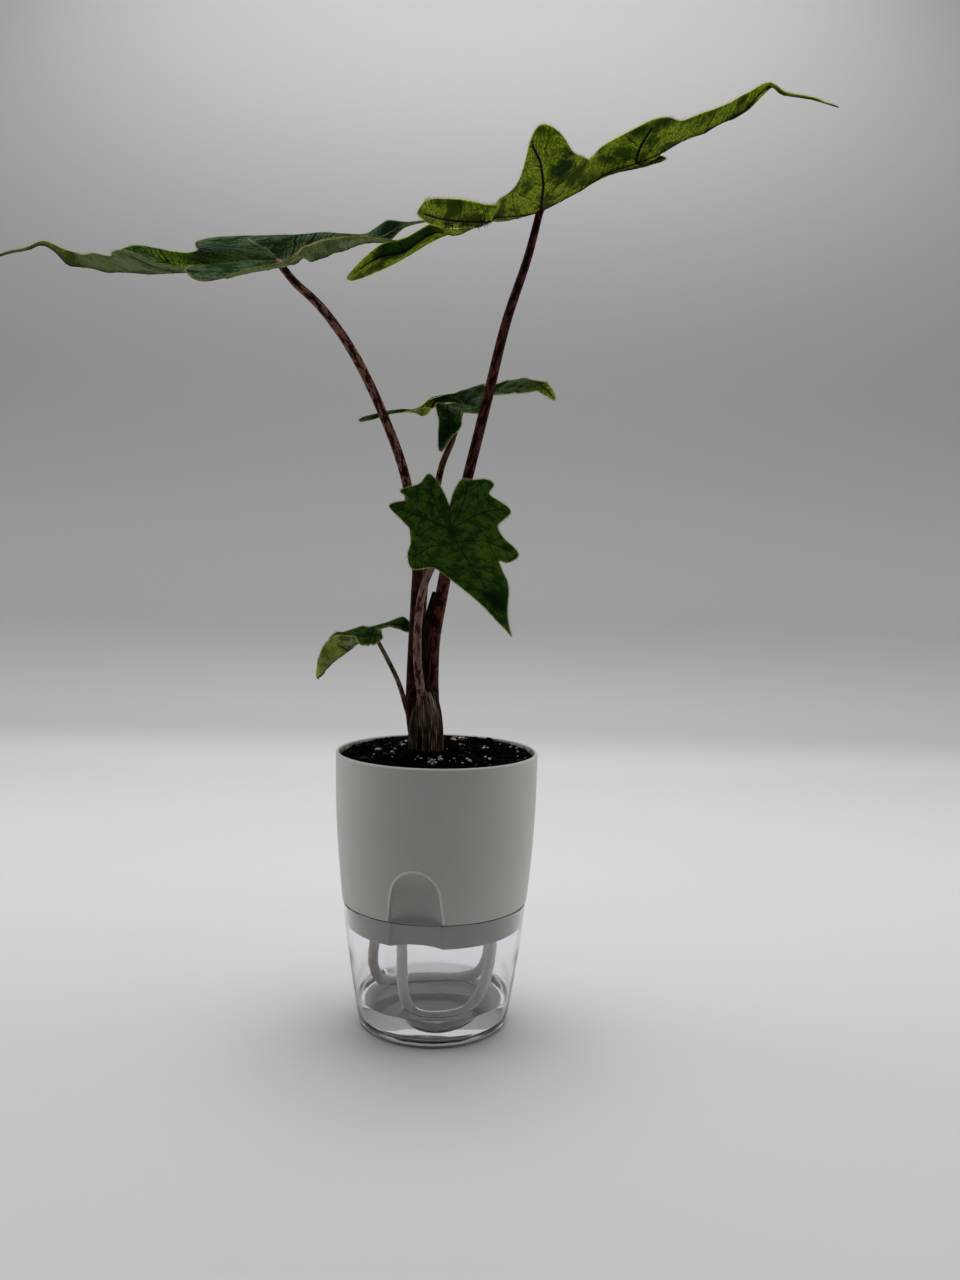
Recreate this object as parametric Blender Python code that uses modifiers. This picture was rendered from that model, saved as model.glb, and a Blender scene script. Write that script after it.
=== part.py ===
"""A jacklyn alocasia in a two-piece wick pot, at its real size.

The clear reservoir stands on z = 0, centred on the origin. The pot hangs in it
by its skirt, and two cotton wicks loop down from the soil into the water.
Five leaves rise from one crown. The front is towards -Y, and +X is to the right.
"""
import math

import bmesh
import bpy
import numpy as np
from mathutils import Matrix, Vector, noise
from mathutils.bvhtree import BVHTree
from mathutils.geometry import delaunay_2d_cdt

MM = 0.001

# Driving dimensions, in millimetres
GAP = 0.3
ROUND_STEPS = 44
NOTCH_STEPS = 26
HOLE_STEPS = 16
RIM_RADIUS = 51.0
POT_HEIGHT = 140.0
POT_WALL = 1.8
POT_CLEARANCE = 0.35
LIP_CLEARANCE = 0.6
SEAM_HEIGHT = 64.2
SKIRT_RADIUS = 47.0
SKIRT_BULGE = 1.1
POT_BOTTOM = 51.5
FLOOR_THICKNESS = 2.0
RESERVOIR_WALL = 1.6
RESERVOIR_FLOOR = 3.0
FOOT_RADIUS = 34.5
WATER_LEVEL = 14.5
NOTCH_RADIUS = 22.0
NOTCH_LENGTH = 60.0
NOTCH_REACH = 64.9
NOTCH_CENTRE_HEIGHT = 75.0
NOTCH_TILT = math.radians(12)
NOTCH_TURN = math.radians(-9.3)
WICK_RADIUS = 2.7
WICK_SIDES = 2
CROWN_CENTRE = (-5.5, -3.0)
CROWN_HOLE_RADIUS = 9.4
STEM_HOLE_ROOT = 111.0
BLADE_THICKNESS = 0.7
RIB_THICKNESS = 1.4
RIB_WIDTH = 1.6
MIDRIB_POINTS = 20
SOIL_RINGS = 10
SOIL_LEVEL = 136.5

# The clear cup's outer side, from the rim down: radius and height
CUP_SIDE = [(46.5, 63.4), (44.0, 40.0), (41.2, 20.0), (38.6, 4.5)]
CUP_RIM_HEIGHT = 63.9

# The two wicks hang from four holes in the pot's floor, as points on their middle line
WICK_TOP = 66.0
WICK_FRONT = [
    (-16, -14, WICK_TOP), (-16, -14, 52), (-15.5, -15, 43), (-15, -18, 33), (-14.5, -20, 24),
    (-12, -22, 16), (-7, -24, 10.5), (-1, -24.5, 8.2), (6, -24, 8.2), (14, -22, 10.5),
    (21, -18, 16), (26, -14, 24), (28.5, -10, 33), (29.5, -8, 43), (29, -8, 52),
    (29, -8, WICK_TOP),
]
WICK_BACK = [
    (-29.5, -2, WICK_TOP), (-29.5, -2, 52), (-30.5, 0, 41), (-31.5, 1, 31), (-31, 3, 24),
    (-28, 6, 17.5), (-21.5, 10, 14), (-12, 13, 14), (-2, 14.5, 14.3), (8, 15, 14.6),
    (16.5, 14.5, 16), (23, 12.5, 19.5), (27, 9.5, 27), (28.5, 6.5, 37), (28, 5, 45),
    (28, 5, 52), (28, 5, WICK_TOP),
]

# Each stalk runs from the crown up to its blade: x, y, z and radius at points on it
STALKS = {
    "right": [
        (-4, -2, 132, 3.4), (-2.5, 0, 158, 3.3), (-3, 0, 176, 3.2), (-2.5, 1, 196, 3.2),
        (0.5, 2, 216, 3.2), (5.5, 2, 244, 3.0), (12.9, 2, 277, 2.7), (21.9, 4, 316, 2.6),
        (30.5, 7, 354, 2.4), (40.5, 10, 386, 2.1), (46.3, 16.3, 410.2, 1.9),
    ],
    "left": [
        (-9, -3, 132, 2.8), (-13, -3, 158, 2.9), (-13, -3, 176, 2.9), (-12.3, -3, 196, 2.9),
        (-11.6, -3, 216, 2.8), (-11.5, -4, 240, 2.6), (-17.3, -5, 275, 2.4),
        (-27.7, -6, 304, 2.3), (-42.5, -6, 334, 2.3), (-58.6, -4, 356.5, 2.2),
        (-73.5, -3, 370.5, 2.0), (-81.3, 2.7, 379.9, 1.9),
    ],
    "front": [
        (-5.5, -5, 132, 2.4), (-5.9, -9, 154, 2.4), (-7.5, -11, 167, 2.3), (-9.8, -15, 187, 2.1),
        (-9.4, -19, 207, 2.0), (-7.3, -22, 222, 1.9), (-3.5, -24, 232, 1.8),
        (2, -26.5, 242, 1.7), (5.6, -31, 249.5, 1.6),
    ],
    "middle": [
        (-6, 1, 132, 2.2), (-8.1, 1, 165, 2.2), (-8.6, 3, 190, 2.1), (-8.5, 5, 216, 2.0),
        (-4.8, 10, 256, 1.8), (-0.9, 15, 282, 1.7), (4.4, 19, 297, 1.6), (9.2, 24.2, 314.2, 1.4),
    ],
    "low": [
        (-9, -3, 134, 1.4), (-12.4, -3, 150, 1.4), (-15.4, -3, 160.5, 1.3),
        (-20, -2, 174.5, 1.2), (-27, 0, 188, 1.1), (-31.9, 0.8, 196.4, 1.0),
    ],
}
# The papery sheaths wrapped round the stalks, as tapering tubes
SHEATHS = [
    [(-5.8, -3, 112, 7.0), (-5.8, -3, 120, 8.6), (-5.8, -3, 148, 8.6), (-5.6, -3, 160, 7.2),
     (-5.5, -2.5, 170, 4.2)],
    [(-5, -6.8, 140, 5.2), (-5, -7, 150, 5.2), (-5.4, -8.4, 158, 5.0), (-6.2, -9.8, 166, 3.9),
     (-6.8, -10.4, 170, 3.0)],
    [(-6.5, -1, 150, 5.2), (-6.5, 0, 176, 4.6), (-5.5, 1, 196, 3.6), (-4.5, 1.5, 210, 1.8),
     (-2.5, 1.5, 220, 0.8)],
]

# Half of a grown leaf laid flat, from the sinus round to the tip: distance from the
# midrib and distance along it, as shares of the length from stalk to tip
GROWN_HALF = [
    (0.000, -0.075), (0.035, -0.20), (0.075, -0.34), (0.115, -0.46), (0.165, -0.53),
    (0.215, -0.50), (0.222, -0.42), (0.185, -0.33), (0.145, -0.24), (0.120, -0.15),
    (0.155, -0.095), (0.235, -0.055), (0.292, 0.00), (0.308, 0.055), (0.285, 0.105),
    (0.205, 0.130), (0.115, 0.145), (0.095, 0.185), (0.105, 0.24), (0.140, 0.31),
    (0.155, 0.36), (0.135, 0.41), (0.095, 0.46), (0.075, 0.54), (0.060, 0.62),
    (0.042, 0.70), (0.028, 0.77), (0.014, 0.84), (0.009, 0.92), (0.000, 1.00),
]
# A small grown leaf is plainer: its side lobe runs on into the blade without a notch
SMALL_HALF = [
    (0.000, -0.075), (0.035, -0.20), (0.075, -0.34), (0.115, -0.46), (0.165, -0.53),
    (0.215, -0.50), (0.222, -0.42), (0.185, -0.33), (0.145, -0.24), (0.120, -0.15),
    (0.155, -0.095), (0.235, -0.055), (0.292, 0.00), (0.300, 0.055), (0.270, 0.11),
    (0.230, 0.15), (0.220, 0.20), (0.235, 0.26), (0.240, 0.32), (0.220, 0.40),
    (0.190, 0.50), (0.155, 0.60), (0.115, 0.70), (0.075, 0.80), (0.035, 0.91),
    (0.000, 1.00),
]
# The young leaf is broader, with two teeth on each rear lobe and one round side lobe
YOUNG_HALF = [
    (0.00, -0.17), (0.03, -0.27), (0.07, -0.37), (0.13, -0.41), (0.21, -0.38), (0.31, -0.34),
    (0.37, -0.29), (0.33, -0.235), (0.44, -0.17), (0.36, -0.07), (0.30, 0.00), (0.31, 0.10),
    (0.35, 0.19), (0.34, 0.26), (0.28, 0.30), (0.21, 0.32), (0.185, 0.39), (0.175, 0.48),
    (0.15, 0.60), (0.11, 0.74), (0.06, 0.87), (0.00, 1.00),
]
# The main veins of one half, laid flat in the same shares
GROWN_VEINS = [[(0, 0), (0.09, -0.24), (0.165, -0.50)],
               [(0, 0), (0.14, 0.01), (0.23, 0.01), (0.275, -0.01)],
               [(0, 0.31), (0.07, 0.335), (0.125, 0.36)]]
YOUNG_VEINS = [[(0, 0), (0.09, -0.16), (0.14, -0.36)], [(0, 0), (0.2, -0.10), (0.40, -0.16)],
               [(0, 0.10), (0.18, 0.13), (0.32, 0.23)]]

# How each blade folds, bends and droops: where points of the flat leaf stand, given as
# across, along (shares) and x, y, z (millimetres)
LEAVES = {
    "right": dict(half=GROWN_HALF, veins=GROWN_VEINS, length=190, fineness=0.040, hold=[
        (0, 0, 47, 17, 413), (0, 0.14, 68, 29, 427), (0, 0.28, 92, 40, 442),
        (0, 0.41, 113, 49, 454), (0, 0.54, 135, 59, 467), (0, 0.67, 158, 69, 482),
        (0, 0.8, 179, 73, 494), (0, 0.9, 199, 81, 494), (0, 1, 216, 90, 493),
        (0.19, -0.525, -9, -65, 389), (0.222, -0.42, -3, -55, 396), (0.185, -0.33, 10, -44, 399),
        (0.115, -0.46, -6, -47, 388), (0.075, -0.34, 0, -29, 391), (0.035, -0.2, 17, -10, 397),
        (0.09, -0.24, 21, -23, 396), (0.12, -0.15, 26, -19, 407), (0.235, -0.055, 37, -19, 422),
        (0.308, 0.055, 46, -15, 443), (0.285, 0.105, 55, -10, 440), (0.205, 0.13, 62, 3, 436),
        (0.115, 0.145, 69, 14, 437), (0.105, 0.24, 78, 25, 447), (0.15, 0.345, 100, 26, 459),
        (0.135, 0.41, 112, 31, 464), (0.075, 0.54, 133, 51, 474), (0.048, 0.67, 155, 63, 487),
        (0.028, 0.77, 173, 69, 497), (-0.165, -0.53, -46, -7, 374), (-0.215, -0.4, -26, 5, 382),
        (-0.185, -0.33, -9, 5, 392), (-0.145, -0.24, 12, 9, 402), (-0.09, -0.24, 6, 7, 398),
        (-0.135, -0.4, -21, -3, 386), (-0.035, -0.2, 20, 1, 403), (-0.075, -0.34, -7, -4, 399),
        (-0.115, -0.46, -30, -9, 388), (-0.12, -0.15, 28, 15, 413), (-0.308, 0.055, 76, 55, 447),
        (-0.285, 0.105, 83, 60, 451), (-0.115, 0.145, 82, 36, 441), (-0.15, 0.345, 115, 58, 452),
        (-0.135, 0.41, 111, 67, 458), (-0.095, 0.46, 121, 65, 465), (-0.075, 0.54, 138, 64, 474),
        (-0.028, 0.77, 177, 75, 498), (-0.045, -0.12, 27, 11, 406),
    ]),
    "left": dict(half=GROWN_HALF, veins=GROWN_VEINS, length=172, fineness=0.042, hold=[
        (0, 0, -83, 4, 382), (0, 0.14, -104, 11, 383), (0, 0.28, -128, 22, 381),
        (0, 0.41, -153, 29, 381), (0, 0.54, -177, 36, 383), (0, 0.67, -200, 43, 388),
        (0, 0.8, -220, 43, 396), (0, 0.9, -237, 49, 394), (0, 1, -253, 54, 389),
        (0.165, -0.53, -19, -53, 378), (0.215, -0.5, -32, -58, 378),
        (0.222, -0.42, -41, -58, 378), (0.185, -0.33, -54, -47, 379),
        (0.145, -0.24, -64, -35, 379), (0.09, -0.24, -62, -25, 376),
        (0.135, -0.38, -46, -41, 377), (0.115, -0.46, -32, -42, 381),
        (0.075, -0.34, -49, -30, 381), (0.035, -0.2, -63, -15, 383),
        (0.12, -0.15, -72, -25, 376), (0.235, -0.055, -90, -36, 368),
        (0.308, 0.055, -110, -36, 363), (0.285, 0.105, -117, -30, 366),
        (0.115, 0.145, -122, -4, 377), (0.105, 0.24, -139, 2, 378), (0.15, 0.345, -156, 3, 385),
        (0.135, 0.41, -166, 9, 386), (0.075, 0.54, -181, 24, 389), (0.028, 0.77, -214, 42, 399),
        (-0.165, -0.53, -9, 5, 403), (-0.215, -0.5, -19, 12, 404), (-0.222, -0.42, -30, 17, 406),
        (-0.185, -0.33, -40, 15, 399), (-0.145, -0.24, -51, 13, 398), (-0.14, -0.5, -20, 4, 400),
        (-0.115, -0.46, -27, 2, 393), (-0.075, -0.34, -40, -5, 391),
        (-0.035, -0.2, -58, -4, 389), (-0.12, -0.15, -65, 12, 398),
        (-0.235, -0.055, -90, 30, 401), (-0.308, 0.055, -113, 41, 403),
        (-0.285, 0.105, -122, 40, 402), (-0.115, 0.145, -125, 14, 390),
        (-0.15, 0.345, -159, 32, 395), (-0.135, 0.41, -169, 33, 393),
        (-0.075, 0.54, -183, 34, 390), (-0.028, 0.77, -218, 47, 399),
        (0.048, 0.67, -196, 40, 393), (-0.048, 0.67, -199, 48, 394),
        (0.045, -0.12, -72, -11, 378), (0.11, -0.31, -54, -34, 376),
    ]),
    "front": dict(half=YOUNG_HALF, veins=YOUNG_VEINS, length=68, fineness=0.060, hold=[
        (0, 0, 6, -34, 251), (0, -0.17, 5, -29, 262), (0, 0.2, 12, -39, 240),
        (0, 0.4, 18, -44, 231), (0, 0.7, 25, -50, 219), (0, 0.9, 31, -55, 209),
        (0, 1, 35, -58, 203), (-0.07, -0.37, -3, -24, 276), (-0.13, -0.41, -6, -23, 277),
        (-0.21, -0.38, -9, -24, 273), (-0.37, -0.29, -19, -22, 269), (-0.33, -0.235, -15, -25, 265),
        (-0.44, -0.17, -24, -24, 262), (-0.3, 0, -13, -31, 250), (-0.35, 0.19, -14, -36, 239),
        (-0.34, 0.26, -13, -39, 234), (-0.28, 0.3, -10, -41, 232), (-0.21, 0.32, -2, -41, 233),
        (-0.175, 0.48, 9, -45, 226), (-0.11, 0.74, 23, -52, 215), (0.07, -0.37, 9, -25, 273),
        (0.13, -0.41, 11, -24, 275), (0.21, -0.38, 17, -23, 275), (0.37, -0.29, 26, -21, 273),
        (0.33, -0.235, 24, -24, 268), (0.44, -0.17, 34, -24, 261), (0.3, 0, 28, -30, 253),
        (0.35, 0.19, 36, -34, 243), (0.34, 0.26, 38, -36, 239), (0.28, 0.3, 33, -39, 236),
        (0.21, 0.32, 29, -40, 237), (0.175, 0.48, 33, -45, 227), (0.11, 0.74, 33, -52, 213),
    ]),
    "middle": dict(half=GROWN_HALF, veins=GROWN_VEINS, length=92, fineness=0.060, hold=[
        (0, 0, 10, 25, 317), (0, 0.28, 23, 45, 325), (0, 0.54, 39, 49, 329),
        (0, 0.8, 51, 63, 332), (0, 1, 60, 70, 325), (0.165, -0.53, -1, -2, 290),
        (0.222, -0.42, 5, 0, 298), (0.185, -0.33, 9, 5, 303), (0.115, -0.46, -2, 3, 295),
        (0.075, -0.34, -2, 7, 306), (0.035, -0.2, -3, 11, 315), (0.145, -0.24, 9, 8, 309),
        (0.12, -0.15, 11, 12, 311), (0.308, 0.055, 19, 19, 314), (0.115, 0.145, 24, 29, 321),
        (0.15, 0.345, 30, 40, 324), (0.03, 0.77, 48, 64, 329), (0.014, 0.84, 53, 64, 327),
        (-0.165, -0.53, -42, 9, 305), (-0.2, -0.36, -28, 16, 310), (-0.115, -0.46, -36, 9, 306),
        (-0.075, -0.34, -22, 11, 310), (-0.145, -0.24, -9, 19, 310), (-0.12, -0.15, 2, 19, 320),
        (-0.07, -0.2, -7, 16, 318), (-0.035, -0.2, -6, 16, 313), (-0.308, 0.055, 12, 43, 326),
        (-0.15, 0.345, 32, 57, 333), (-0.03, 0.77, 55, 65, 334), (-0.014, 0.84, 57, 63, 331),
        (0.135, 0.41, 35, 44, 325), (-0.135, 0.41, 35, 60, 334), (-0.095, 0.46, 41, 58, 335),
        (-0.11, -0.33, -21, 13, 312), (-0.235, -0.055, 6, 32, 323), (-0.285, 0.105, 17, 44, 328),
        (-0.115, 0.145, 20, 39, 328), (-0.185, -0.33, -18, 17, 311), (0.215, -0.5, 2, -4, 293),
        (-0.135, -0.4, -30, 12, 310), (-0.222, -0.43, -35, 15, 309),
    ]),
    "low": dict(half=SMALL_HALF, veins=GROWN_VEINS, length=56, fineness=0.070, hold=[
        (0, 0, -33, 1, 199), (0, 0.14, -40, 1, 195), (0, 0.28, -45, 1, 191),
        (0, 0.42, -49, 1, 188), (0, 0.54, -53, 0, 185), (0, 0.67, -56, 0, 182),
        (0, 0.8, -59, 1, 178), (0, 0.9, -61, 5, 176), (0, 1, -62, 8, 174),
        (0.235, -0.055, -35, -13, 194), (0.3, 0.055, -38, -16, 195), (0.27, 0.11, -40, -14, 197),
        (0.23, 0.15, -41, -11, 198), (0.24, 0.32, -50, -10, 198), (0.19, 0.5, -56, -7, 194),
        (0.155, 0.6, -58, -6, 191), (0.115, 0.7, -60, -4, 186), (0.075, 0.8, -61, 0, 182),
        (0.035, 0.91, -62, 4, 178), (0.185, -0.33, -32, -12, 194), (0.222, -0.42, -29, -16, 196),
        (0.165, -0.53, -27, -16, 198), (0.115, -0.46, -28, -12, 200),
        (0.075, -0.34, -29, -8, 201), (0.035, -0.2, -31, -3, 201), (0.12, -0.15, -35, -4, 193),
        (-0.235, -0.055, -37, 11, 201), (-0.3, 0.055, -41, 15, 201), (-0.27, 0.11, -44, 13, 200),
        (-0.23, 0.15, -47, 12, 199), (-0.24, 0.32, -53, 11, 198), (-0.19, 0.5, -56, 7, 195),
        (-0.155, 0.6, -57, 8, 191), (-0.115, 0.7, -59, 6, 186), (-0.075, 0.8, -60, 4, 182),
        (-0.035, 0.91, -62, 6, 177), (-0.12, -0.15, -30, 6, 203), (-0.185, -0.33, -22, 4, 206),
        (-0.222, -0.42, -18, 4, 207), (-0.165, -0.53, -14, 3, 200), (-0.115, -0.46, -17, 0, 200),
        (-0.075, -0.34, -22, -1, 202), (-0.035, -0.2, -28, 0, 202),
    ]),
}


def clear_scene():
    """Remove everything that a new file starts with."""
    for old in list(bpy.data.objects):
        bpy.data.objects.remove(old, do_unlink=True)


def new_collection(name):
    """Make a collection in the scene."""
    made = bpy.data.collections.new(name)
    bpy.context.scene.collection.children.link(made)
    return made


clear_scene()
PARTS = new_collection("potted_alocasia")
CUTTERS = new_collection("cutters")


def finish_material(name, colour, roughness, transmission=0.0, ior=1.45):
    """A plain finish for one sub-part."""
    made = bpy.data.materials.new(name)
    made.use_nodes = True
    shader = made.node_tree.nodes["Principled BSDF"]
    shader.inputs["Base Color"].default_value = (*colour, 1.0)
    shader.inputs["Roughness"].default_value = roughness
    shader.inputs["Metallic"].default_value = 0.0
    shader.inputs["Transmission Weight"].default_value = transmission
    shader.inputs["IOR"].default_value = ior
    return made


CLEAR_PLASTIC = finish_material("clear_plastic", (0.93, 0.94, 0.96), 0.06, 1.0, 1.49)
POT_PLASTIC = finish_material("warm_white_plastic", (0.60, 0.61, 0.57), 0.42)
WATER = finish_material("water", (0.95, 0.97, 1.0), 0.02, 1.0, 1.33)
COTTON = finish_material("cotton", (0.72, 0.70, 0.66), 0.9)
SOIL = finish_material("potting_soil", (0.018, 0.013, 0.010), 0.95)
STALK = finish_material("mottled_stalk", (0.22, 0.10, 0.08), 0.55)
LEAF = finish_material("leaf_green", (0.09, 0.17, 0.04), 0.5)


def add_object(name, mesh, collection, material=None):
    """Put a mesh in the scene under a node's name."""
    made = bpy.data.objects.new(name, mesh)
    collection.objects.link(made)
    if material:
        mesh.materials.clear()
        mesh.materials.append(material)
    return made


def hide_cutter(cutter):
    """Mark an object as a tool, not a piece."""
    cutter.hide_render = True
    cutter.display_type = "WIRE"
    return cutter


def turned(name, profile, collection, material=None, steps=ROUND_STEPS):
    """Turn a profile of (radius, height) points about the Z axis."""
    mesh = bpy.data.meshes.new(name)
    points = [(radius * MM, 0.0, height * MM) for radius, height in profile]
    mesh.from_pydata(points, [(i, i + 1) for i in range(len(points) - 1)], [])
    made = add_object(name, mesh, collection, material)
    screw = made.modifiers.new("turn", "SCREW")
    screw.steps = steps
    screw.render_steps = steps
    screw.use_merge_vertices = True
    screw.merge_threshold = 0.00001
    screw.use_smooth_shade = True
    return made


def settle(made):
    """Turn an object's modifiers into its own mesh."""
    graph = bpy.context.evaluated_depsgraph_get()
    mesh = bpy.data.meshes.new_from_object(made.evaluated_get(graph), depsgraph=graph)
    made.modifiers.clear()
    made.data = mesh
    return made


def cut(made, cutter):
    """Take a cutter away from an object."""
    boolean = made.modifiers.new("cut_" + cutter.name, "BOOLEAN")
    boolean.operation = "DIFFERENCE"
    boolean.solver = "EXACT"
    boolean.object = cutter
    return made


def smooth_line(points, steps):
    """Points along a smooth curve through the given ones."""
    known = [np.array(point, dtype=float) for point in points]
    line = []
    for i in range(len(known) - 1):
        before = known[max(i - 1, 0)]
        start = known[i]
        end = known[i + 1]
        after = known[min(i + 2, len(known) - 1)]
        for k in range(steps):
            t = k / steps
            line.append(0.5 * (2 * start + (end - before) * t
                               + (2 * before - 5 * start + 4 * end - after) * t ** 2
                               + (3 * start - before - 3 * end + after) * t ** 3))
    line.append(known[-1])
    return line


def tube(name, line, collection, material=None, sides=2):
    """A round closed tube along points of (x, y, z, radius)."""
    curve = bpy.data.curves.new(name, "CURVE")
    curve.dimensions = "3D"
    curve.bevel_depth = MM
    curve.bevel_resolution = sides
    curve.use_fill_caps = True
    spline = curve.splines.new("POLY")
    spline.points.add(len(line) - 1)
    for point, (x, y, z, radius) in zip(spline.points, line):
        point.co = (x * MM, y * MM, z * MM, 1.0)
        point.radius = radius
    guide = bpy.data.objects.new(name + "_guide", curve)
    collection.objects.link(guide)
    graph = bpy.context.evaluated_depsgraph_get()
    mesh = bpy.data.meshes.new_from_object(guide.evaluated_get(graph), depsgraph=graph)
    mesh.transform(guide.matrix_world)
    bpy.data.objects.remove(guide)
    weld(mesh)
    mesh.shade_smooth()
    return add_object(name, mesh, collection, material)


def weld(mesh):
    """Join the loose caps of a tube to its wall."""
    work = bmesh.new()
    work.from_mesh(mesh)
    bmesh.ops.remove_doubles(work, verts=work.verts, dist=0.00001)
    bmesh.ops.recalc_face_normals(work, faces=work.faces)
    work.to_mesh(mesh)
    work.free()


def cup_radius(height):
    """Outer radius of the clear cup at a height."""
    radii = [radius for radius, _ in reversed(CUP_SIDE)]
    heights = [z for _, z in reversed(CUP_SIDE)]
    return float(np.interp(height, heights, radii))


def skirt_radius(height):
    """Outer radius of the pot's skirt, which swells a little between seam and rim."""
    share = (height - SEAM_HEIGHT) / (POT_HEIGHT - SEAM_HEIGHT)
    straight = SKIRT_RADIUS + (RIM_RADIUS - SKIRT_RADIUS) * share
    return straight + SKIRT_BULGE * math.sin(math.pi * share)


def band_radius(height):
    """Outer radius of the pot's lower part, which slips into the cup."""
    return cup_radius(height) - RESERVOIR_WALL - POT_CLEARANCE


def make_reservoir():
    """The clear cup, thick in the floor and rounded at the foot."""
    inner_foot = cup_radius(4.5) - RESERVOIR_WALL
    profile = [(0, RESERVOIR_FLOOR), (inner_foot - 2.5, RESERVOIR_FLOOR),
               (inner_foot - 0.6, RESERVOIR_FLOOR + 0.8), (inner_foot, 5.4)]
    profile += [(cup_radius(z) - RESERVOIR_WALL, z) for z in (20, 40, 63.4)]
    profile += [(cup_radius(63.4) - RESERVOIR_WALL + 0.4, CUP_RIM_HEIGHT),
                (cup_radius(63.4) - 0.4, CUP_RIM_HEIGHT)]
    profile += CUP_SIDE
    profile += [(37.9, 2.0), (36.4, 0.6), (FOOT_RADIUS, 0), (0, 0)]
    return turned("reservoir", profile, PARTS, CLEAR_PLASTIC)


def notch_bullet(name, radius):
    """A leaning round-nosed bar that shapes the filling notch."""
    arc = [(radius * math.sin(a), radius * math.cos(a))
           for a in np.linspace(0, math.pi / 2, 8)]
    arc[0] = (0.0, radius)
    bullet = turned(name, arc + [(radius, -NOTCH_LENGTH), (0.0, -NOTCH_LENGTH)], CUTTERS,
                    steps=NOTCH_STEPS)
    settle(bullet)
    outward = Vector((math.sin(NOTCH_TURN), -math.cos(NOTCH_TURN), 0.0))
    across = outward.cross(Vector((0, 0, 1)))
    lean = Matrix.Rotation(-NOTCH_TILT, 4, across)
    place = Matrix.Translation(outward * NOTCH_REACH * MM
                               + Vector((0, 0, NOTCH_CENTRE_HEIGHT * MM)))
    bullet.data.transform(place @ lean)
    return hide_cutter(bullet)


def round_hole(name, x, y, low, high, radius):
    """An upright round cutter."""
    bpy.ops.mesh.primitive_cylinder_add(vertices=HOLE_STEPS, radius=radius * MM,
                                        depth=(high - low) * MM,
                                        location=(x * MM, y * MM, (high + low) / 2 * MM))
    hole = bpy.context.object
    hole.name = name
    for owner in list(hole.users_collection):
        owner.objects.unlink(hole)
    CUTTERS.objects.link(hole)
    hole.data.transform(hole.matrix_world)
    hole.matrix_world = Matrix.Identity(4)
    return hide_cutter(hole)


def inside_profile(clearance, top, low):
    """The pot's inner wall from the top down to its floor, as radius and height."""
    wall = POT_WALL + clearance
    heights = [z for z in (POT_HEIGHT - 2, 125, 105, 85, SEAM_HEIGHT + 2) if z < top]
    profile = [(skirt_radius(z) - wall, z) for z in heights]
    profile += [(band_radius(62) - wall, 62), (band_radius(low + 2) - wall, low + 2),
                (band_radius(low) - wall - 1.5, low), (0, low)]
    return profile


def make_inner_pot():
    """The pot: a barrel skirt that sits on the cup's rim, and a narrower foot inside it."""
    side = [(skirt_radius(z), z) for z in (POT_HEIGHT - 0.8, 130, 120, 108, 96, 84, 74)]
    profile = [(0, POT_HEIGHT), (RIM_RADIUS - 0.7, POT_HEIGHT)] + side
    profile += [(skirt_radius(SEAM_HEIGHT), SEAM_HEIGHT),
                (band_radius(SEAM_HEIGHT), SEAM_HEIGHT),
                (band_radius(POT_BOTTOM + 1), POT_BOTTOM + 1),
                (band_radius(POT_BOTTOM) - 1, POT_BOTTOM), (0, POT_BOTTOM)]
    pot = turned("inner_pot", profile, PARTS, POT_PLASTIC)
    floor = POT_BOTTOM + FLOOR_THICKNESS
    lip = skirt_radius(POT_HEIGHT - 2) - POT_WALL
    lip += LIP_CLEARANCE
    opening = [(0, POT_HEIGHT + 5), (lip, POT_HEIGHT + 5), (lip, POT_HEIGHT - 0.2)]
    cavity = turned("pot_cavity", opening + inside_profile(0, POT_HEIGHT, floor), CUTTERS)
    hide_cutter(cavity)
    cut(cavity, notch_bullet("notch_inner", NOTCH_RADIUS + POT_WALL))
    settle(cavity)
    cut(pot, cavity)
    cut(pot, notch_bullet("notch_outer", NOTCH_RADIUS))
    for index, (x, y) in enumerate(wick_holes()):
        cut(pot, round_hole(f"wick_hole_{index}", x, y, POT_BOTTOM - 5, floor + 5,
                            WICK_RADIUS + GAP))
    return pot


def wick_holes():
    """Where the wicks pass the pot's floor."""
    return [route[end][:2] for route in (WICK_FRONT, WICK_BACK) for end in (0, -1)]


def wick_line(route, radius):
    """A wick's middle line with its radius."""
    return [(*point, radius) for point in smooth_line(route, 2)]


def make_wicks():
    """Two soft cotton cords hanging in loops under the pot."""
    tube("wick_front", wick_line(WICK_FRONT, WICK_RADIUS), PARTS, COTTON, WICK_SIDES)
    tube("wick_back", wick_line(WICK_BACK, WICK_RADIUS), PARTS, COTTON, WICK_SIDES)


def make_water():
    """The water, with the room that the wicks take in it."""
    inner = RESERVOIR_WALL + GAP
    profile = [(0, WATER_LEVEL), (cup_radius(WATER_LEVEL) - inner, WATER_LEVEL),
               (cup_radius(5.4) - inner, 5.4),
               (cup_radius(4.5) - inner - 0.9, RESERVOIR_FLOOR + 1.0),
               (cup_radius(4.5) - inner - 2.7, RESERVOIR_FLOOR + GAP),
               (0, RESERVOIR_FLOOR + GAP)]
    water = turned("water", profile, PARTS, WATER)
    for index, route in enumerate((WICK_FRONT, WICK_BACK)):
        room = tube(f"wick_room_{index}", wick_line(route, WICK_RADIUS + 2 * GAP), CUTTERS)
        cut(water, hide_cutter(room))
    return water


def soil_height(x, y):
    """Height of the soil: heaped round the crown and higher at the back."""
    away = math.hypot(x - CROWN_CENTRE[0], y - CROWN_CENTRE[1])
    height = SOIL_LEVEL + 6.5 * math.exp(-(away / 20.0) ** 2)
    height += 3.0 * y / RIM_RADIUS
    edge = max(0.0, 1.0 - (math.hypot(x, y) / 47.5) ** 8)
    crumbs = noise.noise(Vector((x, y, 3.0)) / 5.0) + 0.5 * noise.noise(Vector((x, y, 9.0)) / 2.4)
    return height + 1.4 * crumbs * edge


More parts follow.
